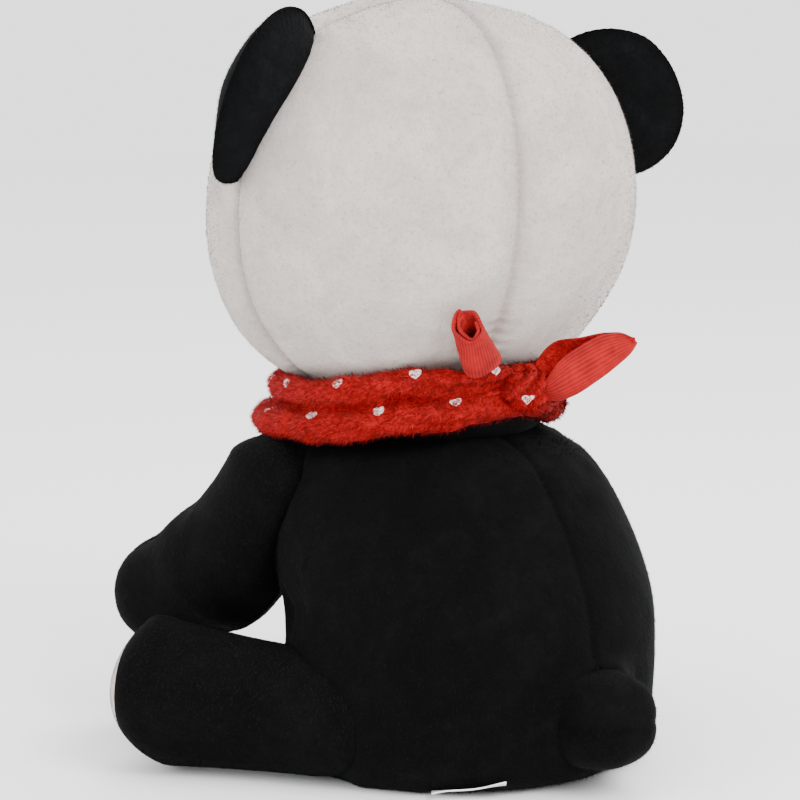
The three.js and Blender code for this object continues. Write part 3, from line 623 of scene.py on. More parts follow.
def thread(name):
    """Black embroidery thread: two plies twisted together, about 0.9 mm a turn."""
    made, nodes, shader = material(name)
    twist = ribs(nodes, own_place(nodes), 0.9, 0.8, "DIAGONAL")
    link(shader, "Base Color", ramp(nodes, twist, [(0.2, "0d0b0a"), (0.9, "2c2725")]))
    relief(nodes, shader, twist, 0.6, 0.0003)
    shader.inputs["Roughness"].default_value = 0.6
    return made


FLEECE = fleece("red_fleece_brushed")
RIBBED = ribbed_knit("red_fleece_ribbed_reverse")
SATIN = satin("satin_ribbon_label")
PLASTIC = glossy_plastic("black_plastic_polished")
THREAD = thread("black_embroidery_thread")


def coat(obj, *materials):
    obj.data.materials.clear()
    for m in materials:
        obj.data.materials.append(m)


# ---- Pile ----
RANDOM = np.random.default_rng(7)


def pile(obj, name, tones, count, length, width, comb, rise=0.45, spread=0.35, back=0.0):
    """A coat of short fibres on a piece. Each is one thin blade whose root is in the cloth, laid
    over along comb(points), a direction at each point, and shaded with the cloth's own normal."""
    mesh = obj.data
    mesh.calc_loop_triangles()
    tri = np.array([t.vertices for t in mesh.loop_triangles])
    co = coords(obj)
    nor = normals(obj)
    a, b, c = co[tri[:, 0]], co[tri[:, 1]], co[tri[:, 2]]
    area = np.linalg.norm(np.cross(b - a, c - a), axis=1) / 2
    pick = RANDOM.choice(len(tri), count, p=area / area.sum())
    u, v = RANDOM.random(count), RANDOM.random(count)
    flip = u + v > 1
    u[flip], v[flip] = 1 - u[flip], 1 - v[flip]
    w = 1 - u - v
    shares = (w[:, None], u[:, None], v[:, None])
    mix = lambda q: sum(q[tri[pick, k]] * share for k, share in enumerate(shares))
    root = mix(co)
    n = mix(nor)
    n /= np.linalg.norm(n, axis=1, keepdims=True)
    if back:
        # The pile is on the cloth's other face, which lies that far behind.
        n = -n
        root = root + n * back
    lay = comb(root)
    lay = lay - n * (lay * n).sum(1, keepdims=True)
    lay /= np.maximum(np.linalg.norm(lay, axis=1, keepdims=True), 1e-6)
    away = RANDOM.normal(size=(count, 3)) * spread
    way = lay * (1 - rise) + n * (rise + 0.25 * RANDOM.random(count)[:, None]) + away * 0.6
    way += n * np.maximum(0, 0.12 - (way * n).sum(1, keepdims=True))
    way /= np.linalg.norm(way, axis=1, keepdims=True)
    side = np.cross(way, n)
    side /= np.maximum(np.linalg.norm(side, axis=1, keepdims=True), 1e-6)
    long = length * (0.65 + 0.6 * RANDOM.random(count))[:, None]
    foot = root - n * 0.0002
    corners = np.stack(
        [foot - side * width / 2, foot + side * width / 2, foot + way * long - n * long * 0.08],
        axis=1,
    )
    corners[..., 2] = np.maximum(corners[..., 2], 0)
    fibres = bpy.data.meshes.new(name)
    fibres.from_pydata(
        corners.reshape(-1, 3).tolist(),
        [],
        np.arange(count * 3).reshape(-1, 3).tolist(),
    )
    made = bpy.data.objects.new(name, fibres)
    bpy.context.collection.objects.link(made)
    coat(made, *tones)
    fibres.polygons.foreach_set("material_index", RANDOM.choice(len(tones), count, p=[0.3, 0.45, 0.25]))
    shade = n + way * 0.35
    shade /= np.linalg.norm(shade, axis=1, keepdims=True)
    fibres.polygons.foreach_set("use_smooth", np.ones(count, bool))
    fibres.normals_split_custom_set_from_vertices(np.repeat(shade, 3, axis=0).tolist())
    return made


down = lambda p: np.tile((0.0, 0.0, -1.0), (len(p), 1))


# ==== Torso, arms, legs and tail ====
FINE = 1

torso = ball("torso_cover", 44)
set_coords(torso, torso_points(coords(torso)))

shoulder = np.array(JOINT["left_arm_lift"]["pos_m"])
HAND = np.array((0.060, -0.105, 0.052))
ARM_ROOT = shoulder + np.array((0.0046, -0.0056, 0.0062))
ELBOW = np.array((0.0503, -0.0705, 0.0670))
arm_line = Line(ARM_ROOT, ELBOW, HAND)
arm = ball("arm_left_cover", 26)
set_coords(arm, limb_points(coords(arm), arm_line, (0.0270, 0.0238, 0.0205), 0.026, 0.0205))
# The shoulder is flat under the neckerchief, and the wrist is a little narrower than the hand.
co = coords(arm)
co[:, 2] = np.where(co[:, 2] > 0.113, 0.113 + (co[:, 2] - 0.113) * 0.45, co[:, 2])
toward_hand = (HAND - ARM_ROOT) / np.linalg.norm(HAND - ARM_ROOT)
run = (co - ARM_ROOT) @ toward_hand
set_coords(arm, co)
push(arm, -0.0016 * np.exp(-(((run - 0.054) / 0.008) ** 2)))

hip = np.array(JOINT["left_leg_swing"]["pos_m"])
LEG_SPLAY = math.radians(33)
ahead = np.array((math.sin(LEG_SPLAY), -math.cos(LEG_SPLAY), 0))
foot = hip + ahead * 0.074
foot[2] = 0.0275
HIP_ROOT = np.array((hip[0], hip[1], 0.0236))
leg_line = Line(HIP_ROOT, HIP_ROOT + ahead * 0.037, foot)
leg = ball("leg_left_cover", 30)
set_coords(leg, limb_points(coords(leg), leg_line, (0.0232, 0.0232, 0.0272), 0.023, 0.0155, 2.15))
# The toe end lifts a little off the floor.
co = coords(leg)
toe = smooth(((co - foot) @ ahead + 0.006) / 0.018)
co[:, 2] += 0.0090 * toe * np.clip(1 - co[:, 2] / 0.055, 0, 1) ** 2
set_coords(leg, co)

tail_boxes = [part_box(panel) for panel in ("tail_upper_panel", "tail_lower_panel")]
tail_low, tail_high = [np.array(corners) for corners in zip(*tail_boxes)]
tail_low, tail_high = tail_low.min(0), tail_high.max(0)
TAIL_HALF = np.array((0.0175, 0.023, 0.0170))
TAIL_MIDDLE = np.array((0, tail_high[1] - TAIL_HALF[1], (tail_low[2] + tail_high[2]) / 2))
tail = ball("tail_cover", 16)
unit = coords(tail)
size = (np.abs(unit) ** 2.7).sum(1) ** (-1 / 2.7)
set_coords(tail, unit * size[:, None] * TAIL_HALF + TAIL_MIDDLE)


def mirrored(obj, name):
    copy = obj.copy()
    copy.data = obj.data.copy()
    copy.name = copy.data.name = name
    bpy.context.collection.objects.link(copy)
    set_coords(copy, coords(copy) * (-1, 1, 1))
    copy.data.flip_normals()
    return copy


# Stuffed cloth is never quite even, so each cover gets broad soft lumps.
for seed, (obj, large, small) in enumerate(
    [(torso, 0.0016, 0.0005), (arm, 0.0012, 0.0005), (leg, 0.0012, 0.0005), (tail, 0.0008, 0.0004)]
):
    co = coords(obj)
    on_floor = 1 - smooth((0.012 - co[:, 2]) / 0.010)
    push(obj, (large * lumps(co, 0.034, seed) + small * lumps(co, 0.012, seed + 9)) * on_floor)

stuffed(torso, lambda p: (np.abs(p[:, 0]) < 0.004) | (p[:, 2] < 0.006) | (p[:, 2] > 0.112), 0.0030)

torso_new = fillet(torso, [arm, leg, tail], 0.012)
arm_new = fillet(arm, [torso], 0.016)
leg_new = fillet(leg, [torso], 0.007)
tail_new = fillet(tail, [torso], 0.006)
left = torso_new[:, 0] > 0
# The torso's right side mirrors what was drawn out on its left.
change = torso_new - coords(torso)
right_side = coords(torso) * (-1, 1, 1)
finder = KDTree(len(change))
for index, point in enumerate(coords(torso)):
    finder.insert(point, index)
finder.balance()
match = np.array([finder.find(p)[1] for p in right_side])
both = np.where(left[:, None], change, change[match] * (-1, 1, 1))
near_middle = np.abs(coords(torso)[:, 0]) < 0.02
both[near_middle] = change[near_middle]
set_coords(torso, coords(torso) + both)
set_coords(arm, arm_new)
set_coords(leg, leg_new)
set_coords(tail, tail_new)

for obj in (torso, arm, leg, tail):
    rounded(obj, 1)

# Seams: down the middle of the back and front, round the pale belly panel, and round the base.
co = coords(torso)
behind = co[:, 1] > lean(co[:, 2])
angle = np.arctan2(co[:, 0], -(co[:, 1] - lean(co[:, 2])))
radius = np.hypot(co[:, 0], co[:, 1])
back = seam_groove(np.where(behind, co[:, 0], 1), co[:, 2], 0.0006)
edge = np.minimum(
    np.abs(np.abs(angle) - BELLY_PATCH_ANGLE) * radius + np.where(co[:, 2] > BELLY_PATCH_TOP, 1, 0),
    np.abs(co[:, 2] - BELLY_PATCH_TOP) + np.where(np.abs(angle) > BELLY_PATCH_ANGLE, 1, 0),
)
edge = np.where(behind, 1, edge)
depth = back + seam_groove(edge, co[:, 2] + angle * radius, 0.0010)
push(torso, depth * smooth((co[:, 2] - 0.002) / 0.01))
# The material paints shade into these seam grooves, darker where they are deeper.
write_attribute(torso, "seam_shade", np.clip(-depth / 0.0016, 0, 1) * 0.8)

# The arm's and leg's seams run along their outer and inner sides.
for obj, line in ((arm, arm_line), (leg, leg_line)):
    co = coords(obj)
    start, end = line.points[0], line.points[2]
    side = np.cross(end - start, (0, 0, 1))
    side /= np.linalg.norm(side)
    across = (co - start) @ side
    run = (co - start) @ ((end - start) / np.linalg.norm(end - start))
    depth = seam_groove(across, run, 0.0006) * smooth((run - 0.02) / 0.02)
    depth *= 1 - smooth((run - np.linalg.norm(end - start) - 0.003) / 0.008)
    push(obj, depth * smooth((co[:, 2] - 0.004) / 0.01))
    # The material paints shade into these seam grooves, darker where they are deeper.
    write_attribute(obj, "seam_shade", np.clip(-depth / 0.0012, 0, 1) * 0.6)

co = coords(tail)
depth = seam_groove(co[:, 2] - TAIL_MIDDLE[2], co[:, 0] * 1.3, 0.0004)
push(tail, depth)
# The material paints shade into this seam groove, darker where it is deeper.
write_attribute(tail, "seam_shade", np.clip(-depth / 0.0014, 0, 1) * 0.8)

for obj in (torso, arm, leg, tail):
    co = coords(obj)
    co[:, 2] = np.maximum(co[:, 2], 0.0001)
    set_coords(obj, co)


def cut_off(obj, name, planes):
    """Cuts the part of a piece that is on the positive side of every plane into its own piece."""
    mesh = bmesh.new()
    mesh.from_mesh(obj.data)
    for point, normal in planes:
        everything = list(mesh.verts) + list(mesh.edges) + list(mesh.faces)
        bmesh.ops.bisect_plane(mesh, geom=everything, dist=1e-6, plane_co=point, plane_no=normal)
    inside = lambda f: all((f.calc_center_median() - Vector(p)).dot(Vector(n)) > 0 for p, n in planes)
    rest = mesh.copy()
    bmesh.ops.delete(mesh, geom=[f for f in mesh.faces if not inside(f)], context="FACES")
    bmesh.ops.delete(rest, geom=[f for f in rest.faces if inside(f)], context="FACES")
    part = bpy.data.meshes.new(name)
    mesh.to_mesh(part)
    rest.to_mesh(obj.data)
    made = bpy.data.objects.new(name, part)
    bpy.context.collection.objects.link(made)
    return made


wedge = [
    ((0, 0, 0), (-math.cos(BELLY_PATCH_ANGLE), -math.sin(BELLY_PATCH_ANGLE), 0)),
    ((0, 0, 0), (math.cos(BELLY_PATCH_ANGLE), -math.sin(BELLY_PATCH_ANGLE), 0)),
    ((0, 0, BELLY_PATCH_TOP), (0, 0, -1)),
    ((0, 0, 0.004), (0, 0, 1)),
]
belly = cut_off(torso, "belly_cover", wedge)
SOLE_SEAM = foot + ahead * 0.009
sole = cut_off(leg, "leg_left_sole_cover", [(SOLE_SEAM, ahead)])

coat(torso, BLACK)
coat(belly, WHITE)
coat(arm, BLACK)
coat(leg, BLACK)
coat(sole, SOLE)
coat(tail, BLACK)

# ==== Head ====
head = ball("head_cover", 52 if FINE else 36)
p = head_points(coords(head))
set_coords(head, p)
push(head, 0.0011 * lumps(p, 0.045, 3) + 0.0004 * lumps(p, 0.016, 4))
# The cheeks are stuffed fuller than the rest.
cheek = np.stack([np.abs(p[:, 0]), p[:, 1], p[:, 2]], -1) @ np.array((0.52, -0.66, -0.54))
push(head, 0.0032 * smooth((cheek / np.linalg.norm(p, axis=1) - 0.55) / 0.45))
set_coords(head, coords(head) * 0.988)
stuffed(head, lambda q: (np.abs(q[:, 0]) < 0.004) | (np.abs(q[:, 1]) < 0.004), 0.0032)
rounded(head, 1)
p = coords(head)
back = seam_groove(np.where(p[:, 1] > 0, p[:, 0], 1), p[:, 2], 0.0011)
side = seam_groove(p[:, 1], np.arctan2(p[:, 2], p[:, 0]) * 0.075, 0.0011)
front = seam_groove(np.where(p[:, 1] < 0, p[:, 0], 1), p[:, 2], 0.0005)
depth = np.minimum(np.minimum(back, side), front)
# The back seam was closed by hand near the neck, so its last stitches draw the cloth in harder.
closing = np.exp(-((p[:, 0] / 0.006) ** 2)) * smooth((-p[:, 2] - 0.030) / 0.01) * (p[:, 1] > 0)
depth -= 0.0008 * closing * (0.5 + 0.5 * np.cos(2 * math.pi * p[:, 2] / 0.004))
# A small dimple where the nap was pressed.
from_dimple = (p - np.array((-0.030, 0.053, -0.022))) * (1.0, 0.5, 0.6)
depth -= 0.0007 * np.exp(-((np.linalg.norm(from_dimple, axis=1) / 0.006) ** 2))
push(head, depth)
# The material paints shade into these seam grooves, the closing stitches and the dimple, darker where
# they are deeper.
write_attribute(head, "seam_shade", np.clip(-depth / 0.0019, 0, 1) * 0.55)
HEAD_SHAPE = tree(head)
set_coords(head, to_world(coords(head)))
coat(head, WHITE)


def face_point(x, z, lift=0.0):
    """The point of the face at a side and height in the head's own frame, and its normal."""
    place, normal, _, _ = HEAD_SHAPE.ray_cast(Vector((x, -0.2, z)), Vector((0, 1, 0)))
    return np.array(place + normal * lift), np.array(normal)


# ==== Ears ====
def ear_piece(name, sign):
    obj = ball(name, 22)
    unit = coords(obj)
    half = EAR_HALF
    size = (np.abs(unit) ** 2.1).sum(1) ** (-1 / 2.1)
    q = unit * size[:, None] * half
    # The rim is pinched by its seam, and the ear cups a little towards the front.
    rim = np.hypot(q[:, 0] / half[0], q[:, 1] / half[1])
    q[:, 2] *= 1 - 0.35 * smooth((rim - 0.55) / 0.45)
    q[:, 2] += 0.0050 * (1 - (q[:, 0] / half[0]) ** 2) * smooth((0.4 - q[:, 1] / half[1]) / 1.4) - 0.002
    q[:, 1] += half[1] - EAR_SINK
    set_coords(obj, q)
    push(obj, 0.0007 * lumps(q * (1, 1, 1), 0.016, 5 + sign))
    rounded(obj, 1)
    q = coords(obj)
    rim = np.hypot(q[:, 0] / half[0], (q[:, 1] - half[1] + EAR_SINK) / half[1])
    run = np.arctan2(q[:, 1] - 0.010, q[:, 0]) * 0.03
    depth = seam_groove((rim - 1.0) * 0.012 + 0.0004, run, 0.0008, 0.0013)
    push(obj, depth)
    # The material paints shade into the rim's seam groove, darker where it is deeper.
    write_attribute(obj, "seam_shade", np.clip(-depth / 0.0014, 0, 1) * 0.7)
    joint = JOINT["left_ear_fold" if sign > 0 else "right_ear_fold"]
    along = np.array(joint["axis"])
    spot = np.array(joint["pos_m"])
    seam_angle, ear_lean = math.radians(EAR_SEAM_ANGLE), math.radians(EAR_LEAN)
    out = np.array((sign * math.cos(seam_angle) * math.cos(ear_lean), math.sin(ear_lean), 0))
    out[2] = math.sin(seam_angle) * math.cos(ear_lean)
    out = HEAD[:3, :3] @ out
    through = np.cross(along, out)
    if through[1] < 0:
        through = -through
    place = np.eye(4)
    place[:3, :3] = np.stack([along, out, through], -1)
    place[:3, 3] = spot
    if sign > 0:
        # The left ear is pressed down on the head at its lower end.
        q = coords(obj)
        u = q[:, 0] / half[0]
        q[:, 0] *= 1.05
        q[:, 2] *= 1 + 0.38 * np.exp(-(((u - 0.25) / 0.6) ** 2))
        q[:, 1] = q[:, 1] * (1 + 0.16 * u) - 0.003 * (1 - u)
        q[:, 2] -= 0.0025 * (1 - u)
        set_coords(obj, q)
        place[:3, 3] += (-0.0022, 0.0026, 0.0036)
    else:
        set_coords(obj, coords(obj) * (0.95, 1, 1))
        place[:3, 3] += (0, 0, 0.0020)
    set_coords(obj, to_world(coords(obj), place))
    if np.linalg.det(place[:3, :3]) < 0:
        obj.data.flip_normals()
    coat(obj, EAR_BLACK)
    return obj


ear_left = ear_piece("ear_left_cover", 1)
ear_right = ear_piece("ear_right_cover", -1)

# ==== Face ====
EYE_SIDE, EYE_HEIGHT = 0.029, 0.004
PATCH_HALF, PATCH_SLANT = (0.014, 0.019), math.radians(28)
NOSE_HEIGHT = -0.014


def dome(name, half_width, half_height, rise, power=2.0):
    """A moulded dome with a rounded rim and a flat back, looking along +Z."""
    obj = ball(name, 14)
    unit = coords(obj)
    z = np.where(unit[:, 2] > 0, rise * unit[:, 2] ** (2 / power), unit[:, 2] * 0.0012)
    set_coords(obj, np.stack([unit[:, 0] * half_width, unit[:, 1] * half_height, z], -1))
    rounded(obj, 1)
    coat(obj, PLASTIC)
    return obj


def stand_on_face(obj, x, z, lift):
    place, way = face_point(x, z, lift)
    right = np.cross((0, 0, 1), way)
    right /= np.linalg.norm(right)
    up = np.cross(way, right)
    matrix = np.eye(4)
    matrix[:3, :3] = np.stack([right, up, way], -1)
    matrix[:3, 3] = place
    set_coords(obj, to_world(to_world(coords(obj), matrix)))
    return obj


def eye_patch(name, sign):
    """A slanted oval of black plush sewn on the face, thicker in the middle than at its edge."""
    rings, around = 12, 64
    rows = []
    for i in range(around):
        a = 2 * math.pi * i / around
        row = []
        for k in range(rings + 1):
            share = k / rings
            x = PATCH_HALF[0] * share * math.cos(a)
            z = PATCH_HALF[1] * share * math.sin(a)
            c, s = math.cos(PATCH_SLANT), math.sin(PATCH_SLANT)
            x, z = x * c + z * s, -x * s + z * c
            lift = 0.0022 * (1 - share**4) ** 0.5 - 0.0004
            point, _ = face_point(sign * (EYE_SIDE + x), EYE_HEIGHT + z, lift)
            row.append(point)
        rows.append(row)
    obj = grid(name, to_world(np.array(rows).reshape(-1, 3)).reshape(around, rings + 1, 3), closed=True)
    bpy.ops.object.mode_set(mode="EDIT")
    bpy.ops.mesh.select_all(action="SELECT")
    bpy.ops.mesh.remove_doubles(threshold=0.00005)
    bpy.ops.mesh.normals_make_consistent(inside=False)
    bpy.ops.object.mode_set(mode="OBJECT")
    if (normals(obj) @ (HEAD[:3, :3] @ np.array((0, -1, 0)))).mean() < 0:
        obj.data.flip_normals()
    # The eye patches get no painted seam shade.
    write_attribute(obj, "seam_shade", np.zeros(len(obj.data.vertices)))
    coat(obj, BLACK)
    return obj


patches = [eye_patch("eye_patch_left_cover", 1), eye_patch("eye_patch_right_cover", -1)]
eyes = [
    stand_on_face(dome(f"eye_{side}_dome", 0.0075, 0.0075, 0.0048), sign * EYE_SIDE, EYE_HEIGHT, 0.0018)
    for side, sign in (("left", 1), ("right", -1))
]
nose = dome("nose_dome", 0.011, 0.0076, 0.0070)
q = coords(nose)
q[:, 0] *= 1 + 0.22 * np.clip(q[:, 1] / 0.0076, -1, 1)
set_coords(nose, q)
stand_on_face(nose, 0, NOSE_HEIGHT, 0.0006)


def stitches(name, points, radius=0.0009):
    """A line of satin stitches along the face: short overlapping strands of thread."""
    path = np.array([face_point(x, z, radius * 0.6)[0] for x, z in points])
    curve = bpy.data.curves.new(name, "CURVE")
    curve.dimensions = "3D"
    curve.bevel_depth = radius
    curve.bevel_resolution = 3
    curve.use_fill_caps = True
    line = curve.splines.new("POLY")
    line.points.add(len(path) - 1)
    for point, place in zip(line.points, to_world(path)):
        point.co = (*place, 1)
    obj = bpy.data.objects.new(name, curve)
    bpy.context.collection.objects.link(obj)
    only(obj)
    bpy.ops.object.convert(target="MESH")
    obj = bpy.context.object
    bpy.ops.object.shade_smooth()
    coat(obj, THREAD)
    return obj


mouth_z = NOSE_HEIGHT - 0.015
across = [
    (0.013 * t, mouth_z - 0.004 * math.sin(math.pi * abs(t) ** 0.8) + 0.002 * t * t)
    for t in np.linspace(-1, 1, 49)
]
down_line = [(0, z) for z in np.linspace(NOSE_HEIGHT - 0.0075, mouth_z, 14)]
mouth = [stitches("mouth_curve_stitching", across), stitches("mouth_line_stitching", down_line)]

# ==== Neckerchief ====
scarf_joint = JOINT["scarf_turn"]
SCARF_MIDDLE = np.array(scarf_joint["pos_m"])
scarf_up = np.array(scarf_joint["axis"])
knot_low, knot_high = [np.array(c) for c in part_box("scarf_knot")]
KNOT = (knot_low + knot_high) / 2 + np.array((-0.0040, 0.0020, 0.0042))
to_knot = KNOT - SCARF_MIDDLE
to_knot -= scarf_up * (to_knot @ scarf_up)
to_knot /= np.linalg.norm(to_knot)
to_left = np.cross(to_knot, scarf_up)
RING = 0.052

# Half the band's section, from its hidden lower edge round two bulging folds to its upper edge:
# how far out from the ring, and how high.
SECTION = [
    (-0.0050, -0.0030),
    (-0.0010, -0.0064),
    (0.0040, -0.0072),
    (0.0076, -0.0050),
    (0.0086, -0.0012),
    (0.0070, 0.0022),
    (0.0036, 0.0038),
    (0.0050, 0.0056),
    (0.0086, 0.0072),
    (0.0104, 0.0098),
    (0.0098, 0.0128),
    (0.0064, 0.0146),
    (0.0020, 0.0138),
    (-0.0015, 0.0105),
]


def band():
    steps, across = (260, 56)
    section = np.array(SECTION)
    run = np.concatenate([[0], np.cumsum(np.linalg.norm(np.diff(section, axis=0), axis=1))])
    v = np.linspace(0, 1, across)
    base = np.stack([np.interp(v * run[-1], run, section[:, k]) for k in (0, 1)], -1)
    for _ in range(6):
        base[1:-1] = (base[:-2] + base[1:-1] * 2 + base[2:]) / 4
    slope = np.gradient(base, axis=0)
    out = np.stack([slope[:, 1], -slope[:, 0]], -1)
    out /= np.linalg.norm(out, axis=1, keepdims=True)
    rows = []
    for i in range(steps):
        a = 2 * math.pi * i / steps
        from_knot = abs((a + math.pi) % (2 * math.pi) - math.pi)
        gather = math.exp(-((from_knot / 0.55) ** 2))
        wave = 0.0007 * math.sin(3 * a + 0.6) + 0.0004 * math.sin(7 * a + 2)
        creases = gather * 0.0014 * np.cos(2 * math.pi * (3.4 * v + 0.5 * from_knot + 0.2))
        creases += 0.0004 * np.cos(2 * math.pi * (5.2 * v + 1.3 * math.sin(a * 2 + 1)))
        rumple = np.array([noise.noise(Vector((a * 9, t * 7, 3.3))) for t in v]) * 0.0009
        shape = base * (1, 1 - 0.22 * gather) + out * (creases + rumple)[:, None]
        # The band stands taller left of the knot, where its upper fold climbs to the knot, and
        # it is drawn in right of the knot.
        climb = math.exp(-(((a - 0.75 + math.pi) % (2 * math.pi) - math.pi) / 0.60) ** 2)
        drawn_in = math.exp(-(((a + 0.75 + math.pi) % (2 * math.pi) - math.pi) / 0.70) ** 2)
        # Its upper fold is tucked in under the head on the left.
        tucked = math.exp(-(((a - 2.3 + math.pi) % (2 * math.pi) - math.pi) / 0.75) ** 2)
        shape[:, 0] -= 0.0085 * tucked * smooth((base[:, 1] - 0.002) / 0.004)
        shape[:, 1] = np.where(shape[:, 1] > 0, shape[:, 1] * (1 + 0.17 * climb), shape[:, 1])
        shape[:, 1] += wave + 0.0030 * gather
        way = to_knot * math.cos(a) + to_left * math.sin(a)
        radius = RING - 0.0048 * drawn_in
        row = SCARF_MIDDLE + way * (radius + shape[:, :1]) + scarf_up * shape[:, 1:]
        rows.append(row)
    obj = grid("scarf_band", np.array(rows), closed=True)
    uv = obj.data.uv_layers["cloth"].data
    for loop in obj.data.loops:
        i, k = divmod(loop.vertex_index, across)
        whole = i / steps
        if i == 0 and uv[loop.index].uv[0] == 0:
            corners = obj.data.polygons[loop.index // 4].loop_indices
            face_u = [obj.data.loops[q].vertex_index // across for q in corners]
            whole = 1.0 if max(face_u) > steps / 2 else 0.0
        uv[loop.index].uv = (whole * 2 * math.pi * RING, v[k] * run[-1])
    return obj, float(run[-1])


def thicken(obj, thickness, inner=0):
    """Gives a sheet its thickness. Its inner side can take its second material."""
    modifier = obj.modifiers.new("thickness", "SOLIDIFY")
    modifier.thickness = thickness
    modifier.offset = -1
    modifier.material_offset = inner
    modifier.material_offset_rim = 0
    apply_modifiers(obj)


scarf_band, band_width = band()
co, nor = coords(scarf_band), normals(scarf_band)
radial = co - SCARF_MIDDLE
if (radial * nor).sum() < 0:
    scarf_band.data.flip_normals()
BAND_SKIN = scarf_band.copy()
BAND_SKIN.data = scarf_band.data.copy()
coat(scarf_band, FLEECE)
thicken(scarf_band, 0.0016)


def knot():
    """Cloth pulled tight over itself: a small rounded bundle with creases that run through it."""
    obj = ball("scarf_knot_bundle", 20)
    unit = coords(obj)
    half = (knot_high - knot_low) / 2 * (1.12, 1.1, 1.0)
    size = (np.abs(unit) ** 2.4).sum(1) ** (-1 / 2.4)
    q = unit * size[:, None] * half
    swirl = q[:, 0] * 0.8 + q[:, 2] * 0.9 + 0.002 * lumps(q, 0.008, 2)
    set_coords(obj, q + KNOT)
    push(obj, 0.0011 * np.cos(2 * math.pi * swirl / 0.0062) + 0.0010 * lumps(q, 0.007, 6))
    rounded(obj, 1)
    mesh = obj.data
    uv = (mesh.uv_layers.get("cloth") or mesh.uv_layers.new(name="cloth")).data
    co = coords(obj) - KNOT
    for loop in mesh.loops:
        x, _, z = co[loop.vertex_index]
        uv[loop.index].uv = (x + 0.0085, z + 0.0115)
    for layer in [l for l in mesh.uv_layers if l.name != "cloth"]:
        mesh.uv_layers.remove(layer)
    coat(obj, FLEECE)
    return obj


scarf_knot = knot()


FROM_BEHIND = np.array((0.646, 0.718, 0.259))  # from the scarf out over the panda's left shoulder


def sheet_lengths(rows):
    """The mean length of a sheet across its rows, and along them."""
    rows = np.asarray(rows)
    down_rows = np.linalg.norm(np.diff(rows, axis=0), axis=2).sum(0).mean()
    along_rows = np.linalg.norm(np.diff(rows, axis=1), axis=2).sum(1).mean()
    return float(down_rows), float(along_rows)


def lay_flat(obj, steps, across, flat):
    """Maps a sheet's rows onto its flat cloth, in metres."""
    for loop in obj.data.loops:
        i, k = divmod(loop.vertex_index, across)
        place = (i / steps * flat[1], k / across * flat[0])
        obj.data.uv_layers["cloth"].data[loop.index].uv = place


def rolled_end():
    """One end of the scarf, rolled up lengthways with its ribbed reverse outside, and open at the
    tip so that the roll shows."""
    root = KNOT + np.array((0.0212, 0.0018, 0.0112))
    tip = KNOT + np.array((0.0355, 0.0100, 0.0262))
    line = Line(root, (root + tip) / 2 + np.array((0.0010, 0.0015, -0.0008)), tip)
    steps, around = 40, 84
    rows = []
    for i in range(steps):
        t = i / (steps - 1)
        centre = line.at(np.array([[t]]))[0]
        way = line.way(np.array([[t]]))[0]
        x = np.cross(FROM_BEHIND, way)
        x /= np.linalg.norm(x)
        y = np.cross(way, x)
        wide = 0.0083 - 0.0020 * smooth(t)
        row = []
        for k in range(around):
            s = k / (around - 1)
            a = 2 * math.pi * 1.75 * s + 4.4 + 0.4 * t
            r = wide * (1 - 0.50 * s) * (1 + 0.05 * math.sin(3 * a + 2 * t))
            r += 0.0003 * noise.noise(Vector((a * 1.2, t * 5, 1.7)))
            # The mouth of the roll is cut back at its front.
            back = 0.0042 * smooth((t - 0.35) / 0.65) * math.sin(a)
            lift = 0.0006 * t * math.sin(4 * a)
            row.append(centre + x * math.cos(a) * r + y * math.sin(a) * r * 0.80 - way * (back - lift))
        rows.append(row)
    roll_flat = (sheet_lengths(rows)[1], sheet_lengths(rows)[0])
    obj = grid("scarf_rolled_end_sheet", np.array(rows))
    lay_flat(obj, steps, around, roll_flat)
    co = coords(obj)
    outer = np.arange(len(co)) % around < around // 2
    middles = [line.at(np.array([[i / (steps - 1)]]))[0] for i in range(steps)]
    centre = np.repeat(np.array(middles), around, 0)
    if ((co - centre)[outer] * normals(obj)[outer]).sum() < 0:
        obj.data.flip_normals()
    coat(obj, RIBBED, FLEECE)
    thicken(obj, 0.0013, 1)
    rounded(obj, 1)
    return obj, roll_flat


scarf_roll, roll_flat = rolled_end()


